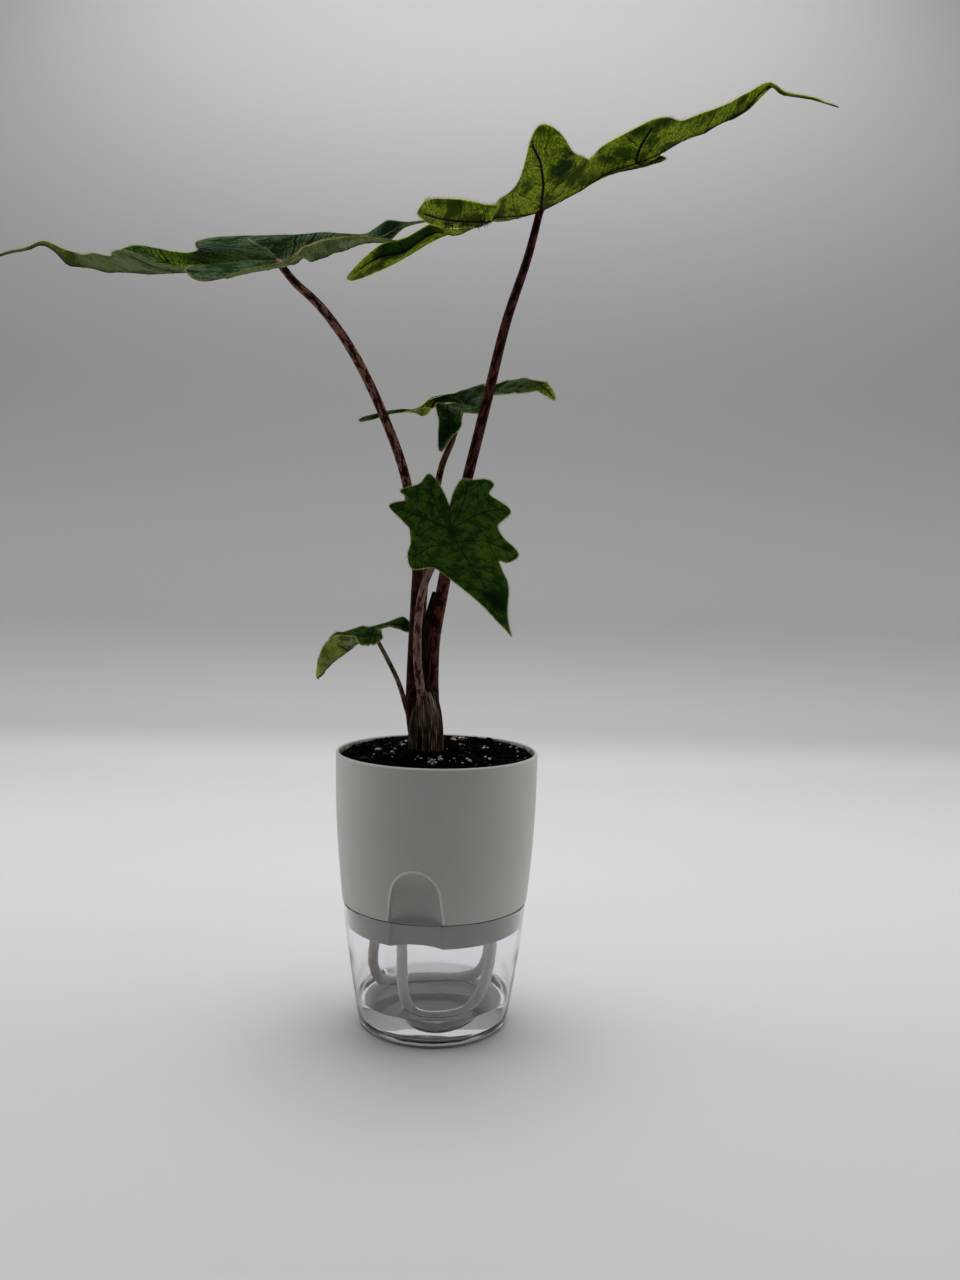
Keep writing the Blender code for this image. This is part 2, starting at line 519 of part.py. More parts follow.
def make_soil():
    """The potting soil, moulded to the pot with holes for the crown and the wicks."""
    floor = POT_BOTTOM + FLOOR_THICKNESS + GAP
    edge = skirt_radius(SOIL_LEVEL) - POT_WALL - GAP
    top = [(edge * i / SOIL_RINGS, SOIL_LEVEL) for i in range(SOIL_RINGS + 1)]
    soil = turned("soil", top + inside_profile(GAP, 126, floor), PARTS, SOIL)
    settle(soil)
    for vertex in soil.data.vertices:
        if vertex.co.z > (SOIL_LEVEL - 1.0) * MM:
            vertex.co.z = soil_height(vertex.co.x / MM, vertex.co.y / MM) * MM
            if math.hypot(vertex.co.x, vertex.co.y) > (edge - 0.5) * MM:
                side = skirt_radius(vertex.co.z / MM) - POT_WALL - GAP
                scale = side * MM / math.hypot(vertex.co.x, vertex.co.y)
                vertex.co.x *= scale
                vertex.co.y *= scale
    cut(soil, notch_bullet("notch_soil", NOTCH_RADIUS + POT_WALL + GAP))
    cut(soil, round_hole("crown_hole", *CROWN_CENTRE, STEM_HOLE_ROOT, 180, CROWN_HOLE_RADIUS))
    for index, (x, y) in enumerate(wick_holes()):
        cut(soil, round_hole(f"wick_soil_hole_{index}", x, y, floor - 5, WICK_TOP + GAP,
                             WICK_RADIUS + GAP))
    return soil


def plate_spline(flat, held):
    """A smooth map from the flat leaf to space that passes through the held points."""
    def bend(square):
        return 0.5 * square * np.log(np.maximum(square, 1e-12))
    count = len(flat)
    square = ((flat[:, None] - flat[None]) ** 2).sum(-1)
    plane = np.hstack([np.ones((count, 1)), flat])
    matrix = np.zeros((count + 3, count + 3))
    matrix[:count, :count] = bend(square)
    matrix[:count, count:] = plane
    matrix[count:, :count] = plane.T
    target = np.zeros((count + 3, 3))
    target[:count] = held
    weights = np.linalg.solve(matrix, target)

    def place(points):
        points = np.atleast_2d(points)
        square = ((points[:, None] - flat[None]) ** 2).sum(-1)
        plane = np.hstack([np.ones((len(points), 1)), points])
        return bend(square) @ weights[:count] + plane @ weights[count:]
    return place


def mirrored(line, side):
    """A flat line on the right half, or the same on the left."""
    return [(across * side, along) for across, along in line]


def flat_leaf(leaf):
    """Cover the flat leaf with triangles that follow its edge and its main veins."""
    edge = [tuple(point) for point in smooth_line(leaf["half"], 2)]
    ring = edge + mirrored(edge[-2:0:-1], -1)
    points = [Vector(point) for point in ring]
    lines = [(i, (i + 1) % len(ring)) for i in range(len(ring))]
    start = len(points)
    low = leaf["half"][0][1]
    middle = [Vector((0, low + (1 - low) * i / MIDRIB_POINTS)) for i in range(1, MIDRIB_POINTS)]
    points += middle
    chain = [0] + list(range(start, start + len(middle))) + [len(edge) - 1]
    lines += list(zip(chain[:-1], chain[1:]))
    step = leaf["fineness"]
    polygon = np.array(ring)
    for i in range(-int(0.5 / step), int(0.5 / step) + 1):
        for j in range(-int(0.6 / step), int(1 / step)):
            spot = ((i + 0.5 * (j % 2)) * step, j * step * 0.87)
            if inside(polygon, spot) and far_from(polygon, spot, 0.45 * step):
                if abs(spot[0]) > 0.45 * step:
                    points.append(Vector(spot))
    found = delaunay_2d_cdt(points, lines, [list(range(len(ring)))], 1, 1e-6)
    return np.array([tuple(point) for point in found[0]]), [tuple(face) for face in found[2]]


def inside(polygon, spot):
    """Whether a flat spot lies inside a polygon."""
    x, y = polygon[:, 0], polygon[:, 1]
    next_x, next_y = np.roll(x, -1), np.roll(y, -1)
    crosses = (y > spot[1]) != (next_y > spot[1])
    with np.errstate(divide="ignore", invalid="ignore"):
        where = x + (spot[1] - y) / (next_y - y) * (next_x - x)
    return int(np.sum(crosses & (spot[0] < where))) % 2 == 1


def far_from(polygon, spot, least):
    """Whether a flat spot keeps a distance from a polygon's corners and edges."""
    start = polygon
    step = np.roll(polygon, -1, axis=0) - start
    share = ((np.array(spot) - start) * step).sum(1) / np.maximum((step ** 2).sum(1), 1e-12)
    nearest = start + np.clip(share, 0, 1)[:, None] * step
    return float(np.hypot(*(nearest - np.array(spot)).T).min()) > least


def vein_distance(leaf, flat):
    """How far flat points lie from the nearest main vein, in millimetres."""
    veins = [[(0, leaf["half"][0][1]), (0, 1)]]
    veins += [mirrored(vein, side) for vein in leaf["veins"] for side in (1, -1)]
    distance = np.full(len(flat), 1e9)
    for vein in veins:
        for start, end in zip(vein[:-1], vein[1:]):
            start = np.array(start, dtype=float)
            step = np.array(end) - start
            share = np.clip(((flat - start) @ step) / (step @ step), 0, 1)
            gap = np.hypot(*(flat - start - share[:, None] * step).T)
            distance = np.minimum(distance, gap * leaf["length"])
    return distance


def make_blade(name, leaf):
    """A leaf blade: bent from the flat leaf, thin at the edge and thick along its veins."""
    flat, faces = flat_leaf(leaf)
    hold = np.array(leaf["hold"], dtype=float)
    place = plate_spline(hold[:, :2], hold[:, 2:])
    mesh = bpy.data.meshes.new(name)
    mesh.from_pydata([Vector(spot) * MM for spot in place(flat)], [], faces)
    mesh.update()
    if sum(face.normal.z * face.area for face in mesh.polygons) < 0:
        mesh.flip_normals()
    mesh.shade_smooth()
    blade = add_object(name, mesh, PARTS, LEAF)
    ribs = blade.vertex_groups.new(name="ribs")
    for index, gap in enumerate(vein_distance(leaf, flat)):
        ribs.add([index], math.exp(-(gap / RIB_WIDTH) ** 2), "REPLACE")
    solid = blade.modifiers.new("blade", "SOLIDIFY")
    solid.thickness = RIB_THICKNESS * MM
    solid.offset = -1.0
    solid.vertex_group = "ribs"
    solid.thickness_vertex_group = BLADE_THICKNESS / RIB_THICKNESS
    return blade


def clear_end(line, blade):
    """Shorten a stalk until its round end stands just clear under the blade."""
    graph = bpy.context.evaluated_depsgraph_get()
    tree = BVHTree.FromObject(blade, graph)
    line = [tuple(float(value) for value in point) for point in line]
    x, y, z, radius = line[-1]
    tip = Vector((x, y, z))
    axis = (tip - Vector(line[-2][:3])).normalized()
    side = axis.orthogonal().normalized()
    best = tip - axis * 6.0
    for step in range(120):
        trial = tip - axis * (6.0 - 0.1 * step)
        ring = [trial + radius * (Matrix.Rotation(turn, 3, axis) @ side)
                for turn in np.linspace(0, 2 * math.pi, 12, endpoint=False)]
        nearest = min(tree.find_nearest(spot * MM)[3] for spot in ring + [trial])
        if nearest < 1.4 * GAP * MM:
            break
        best = trial
    kept = [point for point in line[:-1]
            if (Vector(point[:3]) - best).dot(axis) < -0.5 or Vector(point[:3]).z < z - 20]
    return kept + [(*best, radius)]


def make_stems(blades):
    """All stalks with the crown and its papery sheaths, joined in one body."""
    joined = new_collection("stalks_to_join")
    for name, points in STALKS.items():
        line = clear_end(smooth_line(points, 2), blades[name])
        tube("stalk_" + name, line, joined)
    for index, points in enumerate(SHEATHS[1:]):
        tube(f"sheath_{index}", smooth_line(points, 2), joined)
    stems = tube("stems", smooth_line(SHEATHS[0], 1), PARTS, STALK, 4)
    union = stems.modifiers.new("join", "BOOLEAN")
    union.operation = "UNION"
    union.operand_type = "COLLECTION"
    union.solver = "EXACT"
    union.collection = joined
    settle(stems)
    stems.data.materials.clear()
    stems.data.materials.append(STALK)
    for piece in list(joined.objects):
        bpy.data.objects.remove(piece, do_unlink=True)
    bpy.data.collections.remove(joined)
    return stems


def build():
    """Make every piece."""
    make_reservoir()
    make_inner_pot()
    make_wicks()
    make_water()
    make_soil()
    blades = {name: make_blade("blade_" + name, leaf) for name, leaf in LEAVES.items()}
    make_stems(blades)


build()
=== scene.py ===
# %% [markdown]
# # A potted jacklyn alocasia
# A young plant with five arrow-shaped leaves stands in a white wick pot. The pot
# hangs in a clear cup with a little water, and two cotton wicks carry the water up
# to the soil. The solids of the part are loaded first, as a fixed frame. Each cell
# then builds one piece over them and gives it its finish.

# %% Load the frame
import math

import bpy
import numpy as np
from mathutils import Matrix, Vector, noise
from mathutils.geometry import delaunay_2d_cdt


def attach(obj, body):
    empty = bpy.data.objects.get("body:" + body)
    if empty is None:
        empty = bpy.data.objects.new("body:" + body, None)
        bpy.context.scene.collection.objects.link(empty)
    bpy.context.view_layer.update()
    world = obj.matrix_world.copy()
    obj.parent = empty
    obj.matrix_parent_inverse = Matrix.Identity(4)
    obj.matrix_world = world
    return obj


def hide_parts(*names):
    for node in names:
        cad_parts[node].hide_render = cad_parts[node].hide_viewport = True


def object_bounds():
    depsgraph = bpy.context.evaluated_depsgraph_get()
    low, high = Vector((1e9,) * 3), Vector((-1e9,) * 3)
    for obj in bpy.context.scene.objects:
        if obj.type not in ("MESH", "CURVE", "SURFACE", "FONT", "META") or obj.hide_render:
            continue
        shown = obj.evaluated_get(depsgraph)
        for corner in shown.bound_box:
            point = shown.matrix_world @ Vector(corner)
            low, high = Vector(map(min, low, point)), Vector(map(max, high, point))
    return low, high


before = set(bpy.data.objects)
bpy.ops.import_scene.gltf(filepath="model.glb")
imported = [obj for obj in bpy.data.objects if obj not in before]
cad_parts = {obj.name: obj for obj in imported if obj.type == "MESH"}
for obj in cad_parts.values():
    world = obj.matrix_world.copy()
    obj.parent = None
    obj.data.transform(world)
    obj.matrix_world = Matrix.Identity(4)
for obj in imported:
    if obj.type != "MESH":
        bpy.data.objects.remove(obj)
cad_low, cad_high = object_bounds()
MM = 0.001
print("nodes:", sorted(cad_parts))

# %% [markdown]
# ## The camera
# The photograph was taken from a little above the rim of the pot, with a short lens
# close to the plant. Its place, tilt and slight roll were worked out from the rim,
# the seam and the foot of the pot.

# %% Camera
CAMERA_PLACE = (0.0207, -0.577, 0.2429)
CAMERA_TILT = math.radians(4.62)
CAMERA_ROLL = math.radians(1.105)
CAMERA_LENS = 32.34

camera_data = bpy.data.cameras.new("camera")
camera_data.lens = CAMERA_LENS
camera_data.sensor_width = 36.0
camera_data.clip_start = 0.01
camera = bpy.data.objects.new("camera", camera_data)
bpy.context.scene.collection.objects.link(camera)
camera.matrix_world = (Matrix.Translation(CAMERA_PLACE)
                       @ Matrix.Rotation(math.pi / 2 - CAMERA_TILT, 4, "X")
                       @ Matrix.Rotation(CAMERA_ROLL, 4, "Z"))
bpy.context.scene.camera = camera
print("camera at", CAMERA_PLACE)

# %% [markdown]
# ## Small helpers
# Operators act on what is selected, so everything is deselected before a new
# primitive is added. A finished object has its place in its mesh. Finishes are built
# from nodes, and two short functions keep the node trees readable.


# %% Helpers for pieces
def deselect():
    """Leave edit mode and select nothing."""
    if bpy.context.object and bpy.context.object.mode != "OBJECT":
        bpy.ops.object.mode_set(mode="OBJECT")
    bpy.ops.object.select_all(action="DESELECT")


def pick(piece):
    """Select one object alone."""
    deselect()
    piece.select_set(True)
    bpy.context.view_layer.objects.active = piece


def settle(piece):
    """Put a piece's place in its mesh."""
    pick(piece)
    bpy.ops.object.transform_apply(location=True, rotation=True, scale=True)


def apply_all(piece):
    """Apply each of a piece's modifiers in turn."""
    pick(piece)
    for modifier in list(piece.modifiers):
        bpy.ops.object.modifier_apply(modifier=modifier.name)


def smooth_faces(piece, angle):
    """Shade smooth up to an angle, with large faces setting the direction."""
    pick(piece)
    bpy.ops.object.shade_smooth_by_angle(angle=math.radians(angle))
    weighted = piece.modifiers.new("weighted", "WEIGHTED_NORMAL")
    weighted.keep_sharp = True
    apply_all(piece)


def dress(piece, *finishes):
    """Give a piece its finishes, in order. Which face has which is kept."""
    kept = [face.material_index for face in piece.data.polygons]
    piece.data.materials.clear()
    for finish in finishes:
        piece.data.materials.append(finish)
    if len(finishes) > 1:
        piece.data.polygons.foreach_set("material_index", kept)


def fit(piece, slot, *finishes, node=None):
    """Dress a piece, tie it to the one body, and hide its solid. The slot is not used."""
    dress(piece, *finishes)
    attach(piece, "root")
    if node:
        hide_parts(node)


def combine(piece, other, operation="DIFFERENCE"):
    """Cut one piece with another, or join the two in one body."""
    modifier = piece.modifiers.new("combine", "BOOLEAN")
    modifier.operation = operation
    modifier.solver = "EXACT"
    modifier.object = other
    apply_all(piece)
    bpy.data.objects.remove(other)


def drill(piece, place, radius, low, high, sides):
    """Take an upright rod away from a piece. Sizes are in millimetres."""
    deselect()
    bpy.ops.mesh.primitive_cylinder_add(
        vertices=sides, radius=radius * MM, depth=(high - low) * MM,
        location=(place[0] * MM, place[1] * MM, (high + low) / 2 * MM))
    settle(bpy.context.object)
    combine(piece, bpy.context.object)


def mesh_piece(name, points, faces):
    """A piece made straight from points and faces, in metres."""
    mesh = bpy.data.meshes.new(name)
    mesh.from_pydata([tuple(point) for point in points], [], faces)
    mesh.update()
    made = bpy.data.objects.new(name, mesh)
    bpy.context.scene.collection.objects.link(made)
    return made


def lathe(name, profile, steps):
    """Pull a ring through the (radius, height) points of a profile, in millimetres."""
    deselect()
    radius, height = profile[0]
    bpy.ops.mesh.primitive_circle_add(vertices=steps, radius=radius * MM,
                                      location=(0, 0, height * MM))
    made = bpy.context.object
    made.name = name
    settle(made)
    bpy.ops.object.mode_set(mode="EDIT")
    for new_radius, new_height in profile[1:]:
        bpy.ops.mesh.extrude_edges_move(
            TRANSFORM_OT_translate={"value": (0, 0, (new_height - height) * MM)})
        bpy.ops.transform.resize(value=(new_radius / radius, new_radius / radius, 1),
                                 center_override=(0, 0, new_height * MM))
        radius, height = new_radius, new_height
    bpy.ops.mesh.edge_face_add()
    bpy.ops.mesh.select_mode(type="VERT")
    bpy.ops.mesh.select_all(action="DESELECT")
    bpy.ops.mesh.select_non_manifold()
    bpy.ops.mesh.edge_face_add()
    bpy.ops.mesh.select_all(action="SELECT")
    bpy.ops.mesh.normals_make_consistent(inside=False)
    bpy.ops.object.mode_set(mode="OBJECT")
    return made


def unit(rows):
    """Rows of numbers, each made one long."""
    return rows / np.linalg.norm(rows, axis=1)[:, None]


def run_along(line):
    """How far along a line each of its points is."""
    return np.concatenate([[0], np.cumsum(np.linalg.norm(np.diff(line, axis=0), axis=1))])


def smooth_line(points, steps):
    """Points along a smooth curve through the given ones."""
    known = [np.array(point, dtype=float) for point in points]
    line = []
    for i in range(len(known) - 1):
        before, start = known[max(i - 1, 0)], known[i]
        end, after = known[i + 1], known[min(i + 2, len(known) - 1)]
        for k in range(steps):
            t = k / steps
            line.append(0.5 * (2 * start + (end - before) * t
                               + (2 * before - 5 * start + 4 * end - after) * t ** 2
                               + (3 * start - before - 3 * end + after) * t ** 3))
    line.append(known[-1])
    return np.array(line)


def tube(name, line, sides, relief=None):
    """A closed tube along (x, y, z, radius) points in millimetres, with its length as V."""
    centre, radius = line[:, :3] * MM, line[:, 3] * MM
    ahead = unit(np.gradient(centre, axis=0))
    side = np.array(Vector(ahead[0]).orthogonal().normalized())
    run = run_along(centre)
    turn = np.linspace(0, 2 * math.pi, sides, endpoint=False)
    points = []
    for i in range(len(centre)):
        side = side - ahead[i] * (side @ ahead[i])
        side /= np.linalg.norm(side)
        up = np.cross(ahead[i], side)
        reach = np.full(sides, radius[i])
        if relief:
            reach = reach + relief(turn, run[i])
        points.append(centre[i] + (np.cos(turn)[:, None] * side
                                   + np.sin(turn)[:, None] * up) * reach[:, None])
    points = np.concatenate(points + [centre[:1], centre[-1:]])
    faces, chart = [], []
    low, high, last = len(points) - 2, len(points) - 1, (len(centre) - 1) * sides
    for i in range(len(centre) - 1):
        for k in range(sides):
            here, after = i * sides + k, i * sides + (k + 1) % sides
            faces.append((here, after, after + sides, here + sides))
            chart += [(k, run[i]), (k + 1, run[i]), (k + 1, run[i + 1]), (k, run[i + 1])]
    for k in range(sides):
        after = (k + 1) % sides
        faces += [(low, after, k), (high, last + k, last + after)]
        chart += [(sides / 2, run[0]), (k + 1, run[0]), (k, run[0]),
                  (sides / 2, run[-1]), (k, run[-1]), (k + 1, run[-1])]
    made = mesh_piece(name, points, faces)
    spread = (np.array(chart) / (sides, 1)).astype(np.float32)
    made.data.uv_layers.new(name="length").data.foreach_set("uv", spread.ravel())
    made.data.shade_smooth()
    return made


# %% Helpers for finishes
def new_finish(name, colour=(0.5, 0.5, 0.5), roughness=0.5, **settings):
    """A material whose constants are set on its shader."""
    made = bpy.data.materials.new(name)
    made.use_nodes = True
    shader = made.node_tree.nodes["Principled BSDF"]
    shader.inputs["Base Color"].default_value = (*colour, 1.0)
    shader.inputs["Roughness"].default_value = roughness
    for key, value in settings.items():
        shader.inputs[key.replace("_", " ")].default_value = value
    return made


def add_node(finish, kind, inputs=None, **settings):
    """Add a node, set its options and fill or link its inputs."""
    tree = finish.node_tree
    made = tree.nodes.new("ShaderNode" + kind)
    for key, value in settings.items():
        setattr(made, key, value)
    for key, value in (inputs or {}).items():
        if isinstance(value, bpy.types.NodeSocket):
            tree.links.new(value, made.inputs[key])
        else:
            made.inputs[key].default_value = value
    return made


def maths(finish, operation, first, second=0.0, third=0.0):
    """One sum on two or three values."""
    return add_node(finish, "Math", {0: first, 1: second, 2: third},
                    operation=operation).outputs[0]


def ramp(finish, value, stops):
    """Colours, or one grey value, that change along a value."""
    made = add_node(finish, "ValToRGB", {"Fac": value})
    bar = made.color_ramp
    bar.interpolation = "EASE"
    while len(bar.elements) < len(stops):
        bar.elements.new(0.5)
    for element, (place, colour) in zip(bar.elements, stops):
        element.position = place
        shade = (colour,) * 3 if isinstance(colour, (int, float)) else colour
        element.color = (*shade, 1.0)
    return made.outputs["Color"]


def blend(finish, share, first, second):
    """Mix two colours by a share."""
    made = add_node(finish, "Mix", data_type="RGBA")
    tree = finish.node_tree
    for socket, value in ((0, share), (6, first), (7, second)):
        if isinstance(value, bpy.types.NodeSocket):
            tree.links.new(value, made.inputs[socket])
        elif socket == 0:
            made.inputs[0].default_value = value
        else:
            made.inputs[socket].default_value = (*value, 1.0)
    return made.outputs[2]


def speckle(finish, place, scale, detail=2.0, stretch=(1, 1, 1), roughness=0.5):
    """Soft noise, from 0 to 1."""
    moved = add_node(finish, "Mapping", {"Vector": place, "Scale": stretch})
    return add_node(finish, "TexNoise", {"Vector": moved.outputs[0], "Scale": scale,
                                         "Detail": detail, "Roughness": roughness}).outputs[0]


def mottle(finish, place, scale, detail, stops):
    """Colours, or one grey value, that change along soft noise."""
    return ramp(finish, speckle(finish, place, scale, detail), stops)


def object_place(finish):
    """The Object coordinates of the point that is shaded."""
    return add_node(finish, "TexCoord").outputs["Object"]


def into_shader(finish, name, socket):
    """Link a socket to the shader."""
    shader = finish.node_tree.nodes["Principled BSDF"]
    finish.node_tree.links.new(socket, shader.inputs[name])


def field(finish, name):
    """The value of one of the mesh's attributes."""
    return add_node(finish, "Attribute", attribute_name=name).outputs["Fac"]


def bumped(finish, height, depth, strength=1.0):
    """Raise and lower the surface in the shading."""
    made = add_node(finish, "Bump", {"Height": height, "Distance": depth,
                                     "Strength": strength})
    into_shader(finish, "Normal", made.outputs[0])


def grainy_finish(name, scale, detail, stops, depth=0.0, stretch=(1, 1, 1), **settings):
    """A finish that is coloured, and if asked raised, by one fine noise."""
    made = new_finish(name, **settings)
    grain = speckle(made, object_place(made), scale, detail, stretch)
    into_shader(made, "Base Color", ramp(made, grain, stops))
    if depth:
        bumped(made, grain, depth)
    return made


# %% [markdown]
# ## The wicks
# Two soft white cotton cords come down through holes in the pot's floor, hang in
# loops in the water and go back up. Their routes are the ones that the solids
# follow. Each is a tube of three twisted strands, so the twist is in the mesh, and
# the fibres are in the finish.

# %% Wick routes
WICK_RADIUS = 2.7
HOLE_GAP = 0.3
WICK_FRONT = [
    (-16, -14, 66), (-16, -14, 52), (-15.5, -15, 43), (-15, -18, 33), (-14.5, -20, 24),
    (-12, -22, 16), (-7, -24, 10.5), (-1, -24.5, 8.2), (6, -24, 8.2), (14, -22, 10.5),
    (21, -18, 16), (26, -14, 24), (28.5, -10, 33), (29.5, -8, 43), (29, -8, 52), (29, -8, 66),
]
WICK_BACK = [
    (-29.5, -2, 66), (-29.5, -2, 52), (-30.5, 0, 41), (-31.5, 1, 31), (-31, 3, 24),
    (-28, 6, 17.5), (-21.5, 10, 14), (-12, 13, 14), (-2, 14.5, 14.3), (8, 15, 14.6),
    (16.5, 14.5, 16), (23, 12.5, 19.5), (27, 9.5, 27), (28.5, 6.5, 37), (28, 5, 45),
    (28, 5, 52), (28, 5, 66),
]
WICKS = {"wick_front": WICK_FRONT, "wick_back": WICK_BACK}
WICK_ENDS = [end[:2] for route in WICKS.values() for end in (route[0], route[-1])]
STRAND_TURN = 0.011
STRAND_DEPTH = 0.00028

# %% Cotton finish
cotton = new_finish("wet_cotton", roughness=0.8, Specular_IOR_Level=0.3, Subsurface_Weight=1.0,
                    Subsurface_Radius=(1, 1, 1), Subsurface_Scale=0.004)
cotton_place = object_place(cotton)
cotton_fibres = speckle(cotton, cotton_place, 900, 3.0)
cotton_height = add_node(cotton, "SeparateXYZ", {0: cotton_place})
stain_left = ramp(cotton, maths(cotton, "MULTIPLY_ADD", cotton_height.outputs[0], -18.0, -0.08),
                  [(0.35, 0.0), (0.52, 1.0)])
cotton_base = ramp(cotton, cotton_fibres, [(0.25, (0.92, 0.91, 0.89)), (0.75, (0.99, 0.99, 0.98))])
cotton_dark = mottle(cotton, cotton_place, 60, 2.0,
                     [(0.3, (0.3, 0.23, 0.17)), (0.7, (0.66, 0.57, 0.49))])
into_shader(cotton, "Base Color", blend(cotton, stain_left, cotton_base, cotton_dark))
bumped(cotton, cotton_fibres, 0.0003)
print("finish:", cotton.name)


# %% Wicks
def twist(turn, run):
    """Three strands laid round each other."""
    return STRAND_DEPTH * (np.abs(np.cos(1.5 * turn - math.pi * run / STRAND_TURN * 1.5)) - 0.7)


for wick_name, route in WICKS.items():
    wick_line = smooth_line([(*point, WICK_RADIUS) for point in route], 8)
    wick = tube("cotton_" + wick_name, wick_line, 30, twist)
    fit(wick, "cotton", cotton, node=wick_name)
    path = wick_line[:, :3] * MM
    wick_length = float(run_along(path)[-1])
    print(wick.name, "length in mm:", round(wick_length / MM, 1))

# %% [markdown]
# ## Floor, backdrop and light
# The plant stands in a small light tent: a pale floor that curves up into a grey back, a wide soft
# light on top and bright cloth at both sides. The back carries painted light and shade: lighter at
# its foot and near the top light, darker in between.
# The side of the viewer is open and dark, so the front of the pot is in soft shade while its two
# edges and the floor are bright.

# %% Floor and backdrop
TENT_BACK = 0.8
TENT_CURVE = 0.16
TENT_HALF = 2.4
CURVE_STEPS = 16

deselect()
bpy.ops.mesh.primitive_plane_add(size=2 * TENT_HALF,
                                 location=(0, TENT_BACK - TENT_CURVE - TENT_HALF, 0))
floor = bpy.context.object
floor.name = "floor"
settle(floor)
bpy.ops.object.mode_set(mode="EDIT")
bpy.ops.mesh.select_mode(type="EDGE")
bpy.ops.mesh.select_all(action="DESELECT")
bpy.ops.object.mode_set(mode="OBJECT")
for edge in floor.data.edges:
    ends = [floor.data.vertices[index].co.y for index in edge.vertices]
    edge.select = min(ends) > TENT_BACK - TENT_CURVE - 0.01
bpy.ops.object.mode_set(mode="EDIT")
turn_now = 0.0
for step in range(CURVE_STEPS):
    turn_now += math.pi / 2 / CURVE_STEPS
    reach = TENT_CURVE * math.pi / 2 / CURVE_STEPS
    lean = turn_now - math.pi / 4 / CURVE_STEPS
    bpy.ops.mesh.extrude_edges_move(TRANSFORM_OT_translate={
        "value": (0, reach * math.cos(lean), reach * math.sin(lean))})
bpy.ops.mesh.extrude_edges_move(TRANSFORM_OT_translate={"value": (0, 0, 2.0)})
bpy.ops.object.mode_set(mode="OBJECT")
floor.data.shade_smooth()
tent_cloth = new_finish("tent_cloth", (0.7, 0.7, 0.7), 0.7)
tent_split = add_node(tent_cloth, "SeparateXYZ", {0: object_place(tent_cloth)})
# Painted light and shade on the back: lighter at the foot and near the top light, darker in the
# middle.
into_shader(tent_cloth, "Base Color", ramp(tent_cloth, tent_split.outputs[2], [
    (0.0, 0.76), (0.035, 0.56), (0.16, 0.46), (0.45, 0.33), (0.85, 0.5)]))
dress(floor, tent_cloth)
print("stage:", floor.name)


# %% Lights
def soft_light(name, place, target, size, power):
    """A square area light that faces a point."""
    data = bpy.data.lights.new(name, "AREA")
    data.size = size
    data.energy = power
    made = bpy.data.objects.new(name, data)
    bpy.context.scene.collection.objects.link(made)
    facing = (Vector(target) - Vector(place)).to_track_quat("-Z", "Y")
    made.matrix_world = Matrix.Translation(place) @ facing.to_matrix().to_4x4()
    return made


soft_light("tent_top", (0.0, 0.2, 1.05), (0, 0.2, 0), 1.0, 9.6)
soft_light("tent_left", (-0.95, 0.25, 0.4), (0, 0.1, 0.2), 0.8, 2.5)
soft_light("tent_right", (0.95, 0.25, 0.4), (0, 0.1, 0.2), 0.8, 2.4)
world = bpy.data.worlds.new("studio")
bpy.context.scene.world = world
world.use_nodes = True
world.node_tree.nodes["Background"].inputs["Color"].default_value = (1, 1, 1, 1)
world.node_tree.nodes["Background"].inputs["Strength"].default_value = 0.035
bpy.context.scene.view_settings.view_transform = "Standard"

# %% [markdown]
# ## The clear cup
# The reservoir is a thin tapering cup of clear plastic, with a thick floor and a
# rounded foot. A ring is pulled up along the inside, over the rim and down the
# outside, so that the wall has its real thickness and bends light as the real one
# does.

# %% Clear cup
CUP_WALL = 1.6
CUP_WALL_TOP = 0.8
CUP_BAND_GAP = 0.08
CUP_SIDE = [(46.5, 63.4), (44.0, 40.0), (41.2, 20.0), (38.6, 4.5)]
ROUND_STEPS = 144


def cup_radius(height):
    """Outer radius of the clear cup at a height."""
    return float(np.interp(height, [z for _, z in CUP_SIDE[::-1]],
                           [radius for radius, _ in CUP_SIDE[::-1]]))


def cup_inside(height):
    """Inner radius of the cup, whose wall gets thinner from its foot to its rim."""
    wall = np.interp(height, (6, 54), (CUP_WALL, CUP_WALL_TOP))
    return cup_radius(height) - float(wall)


clear_plastic = new_finish("clear_plastic", (0.975, 0.978, 1.0), 0.03,
                           Transmission_Weight=1.0, IOR=1.49)
bumped(clear_plastic, speckle(clear_plastic, object_place(clear_plastic), 30), 0.0004, 0.3)

inside_cup = [(2.0, 3.0), (34.0, 3.0), (36.0, 3.5), (36.8, 4.4), (37.05, 5.6)]
inside_cup += [(cup_inside(z), z) for z in (6.0, 12, 20, 30, 38, 42, 46, 50, 56, 62.9, 63.2)]
rim_cup = [(45.75, 63.7), (45.95, 63.9), (46.15, 63.9), (46.35, 63.7)]
outside_cup = [(cup_radius(z), z) for z in (63.2, 62.9, 52, 40, 30, 20, 12, 5.2, 4.8)]
foot_cup = [(38.3, 3.0), (37.6, 1.6), (36.6, 0.7), (35.4, 0.2), (34.5, 0.0), (30.0, 0.0),
            (28.8, 0.5), (2.0, 0.5)]
cup = lathe("clear_cup", inside_cup + rim_cup + outside_cup + foot_cup, ROUND_STEPS)
smooth_faces(cup, 50)
fit(cup, "clear_plastic", clear_plastic, node="reservoir")
print("cup box:", [round(x, 4) for x in cup.dimensions])

# %% [markdown]
# ## The water
# About 11 mm of water stands in the cup. It is a body of its own that follows the
# inside of the cup with a hair's gap, and its edge climbs the wall a little.

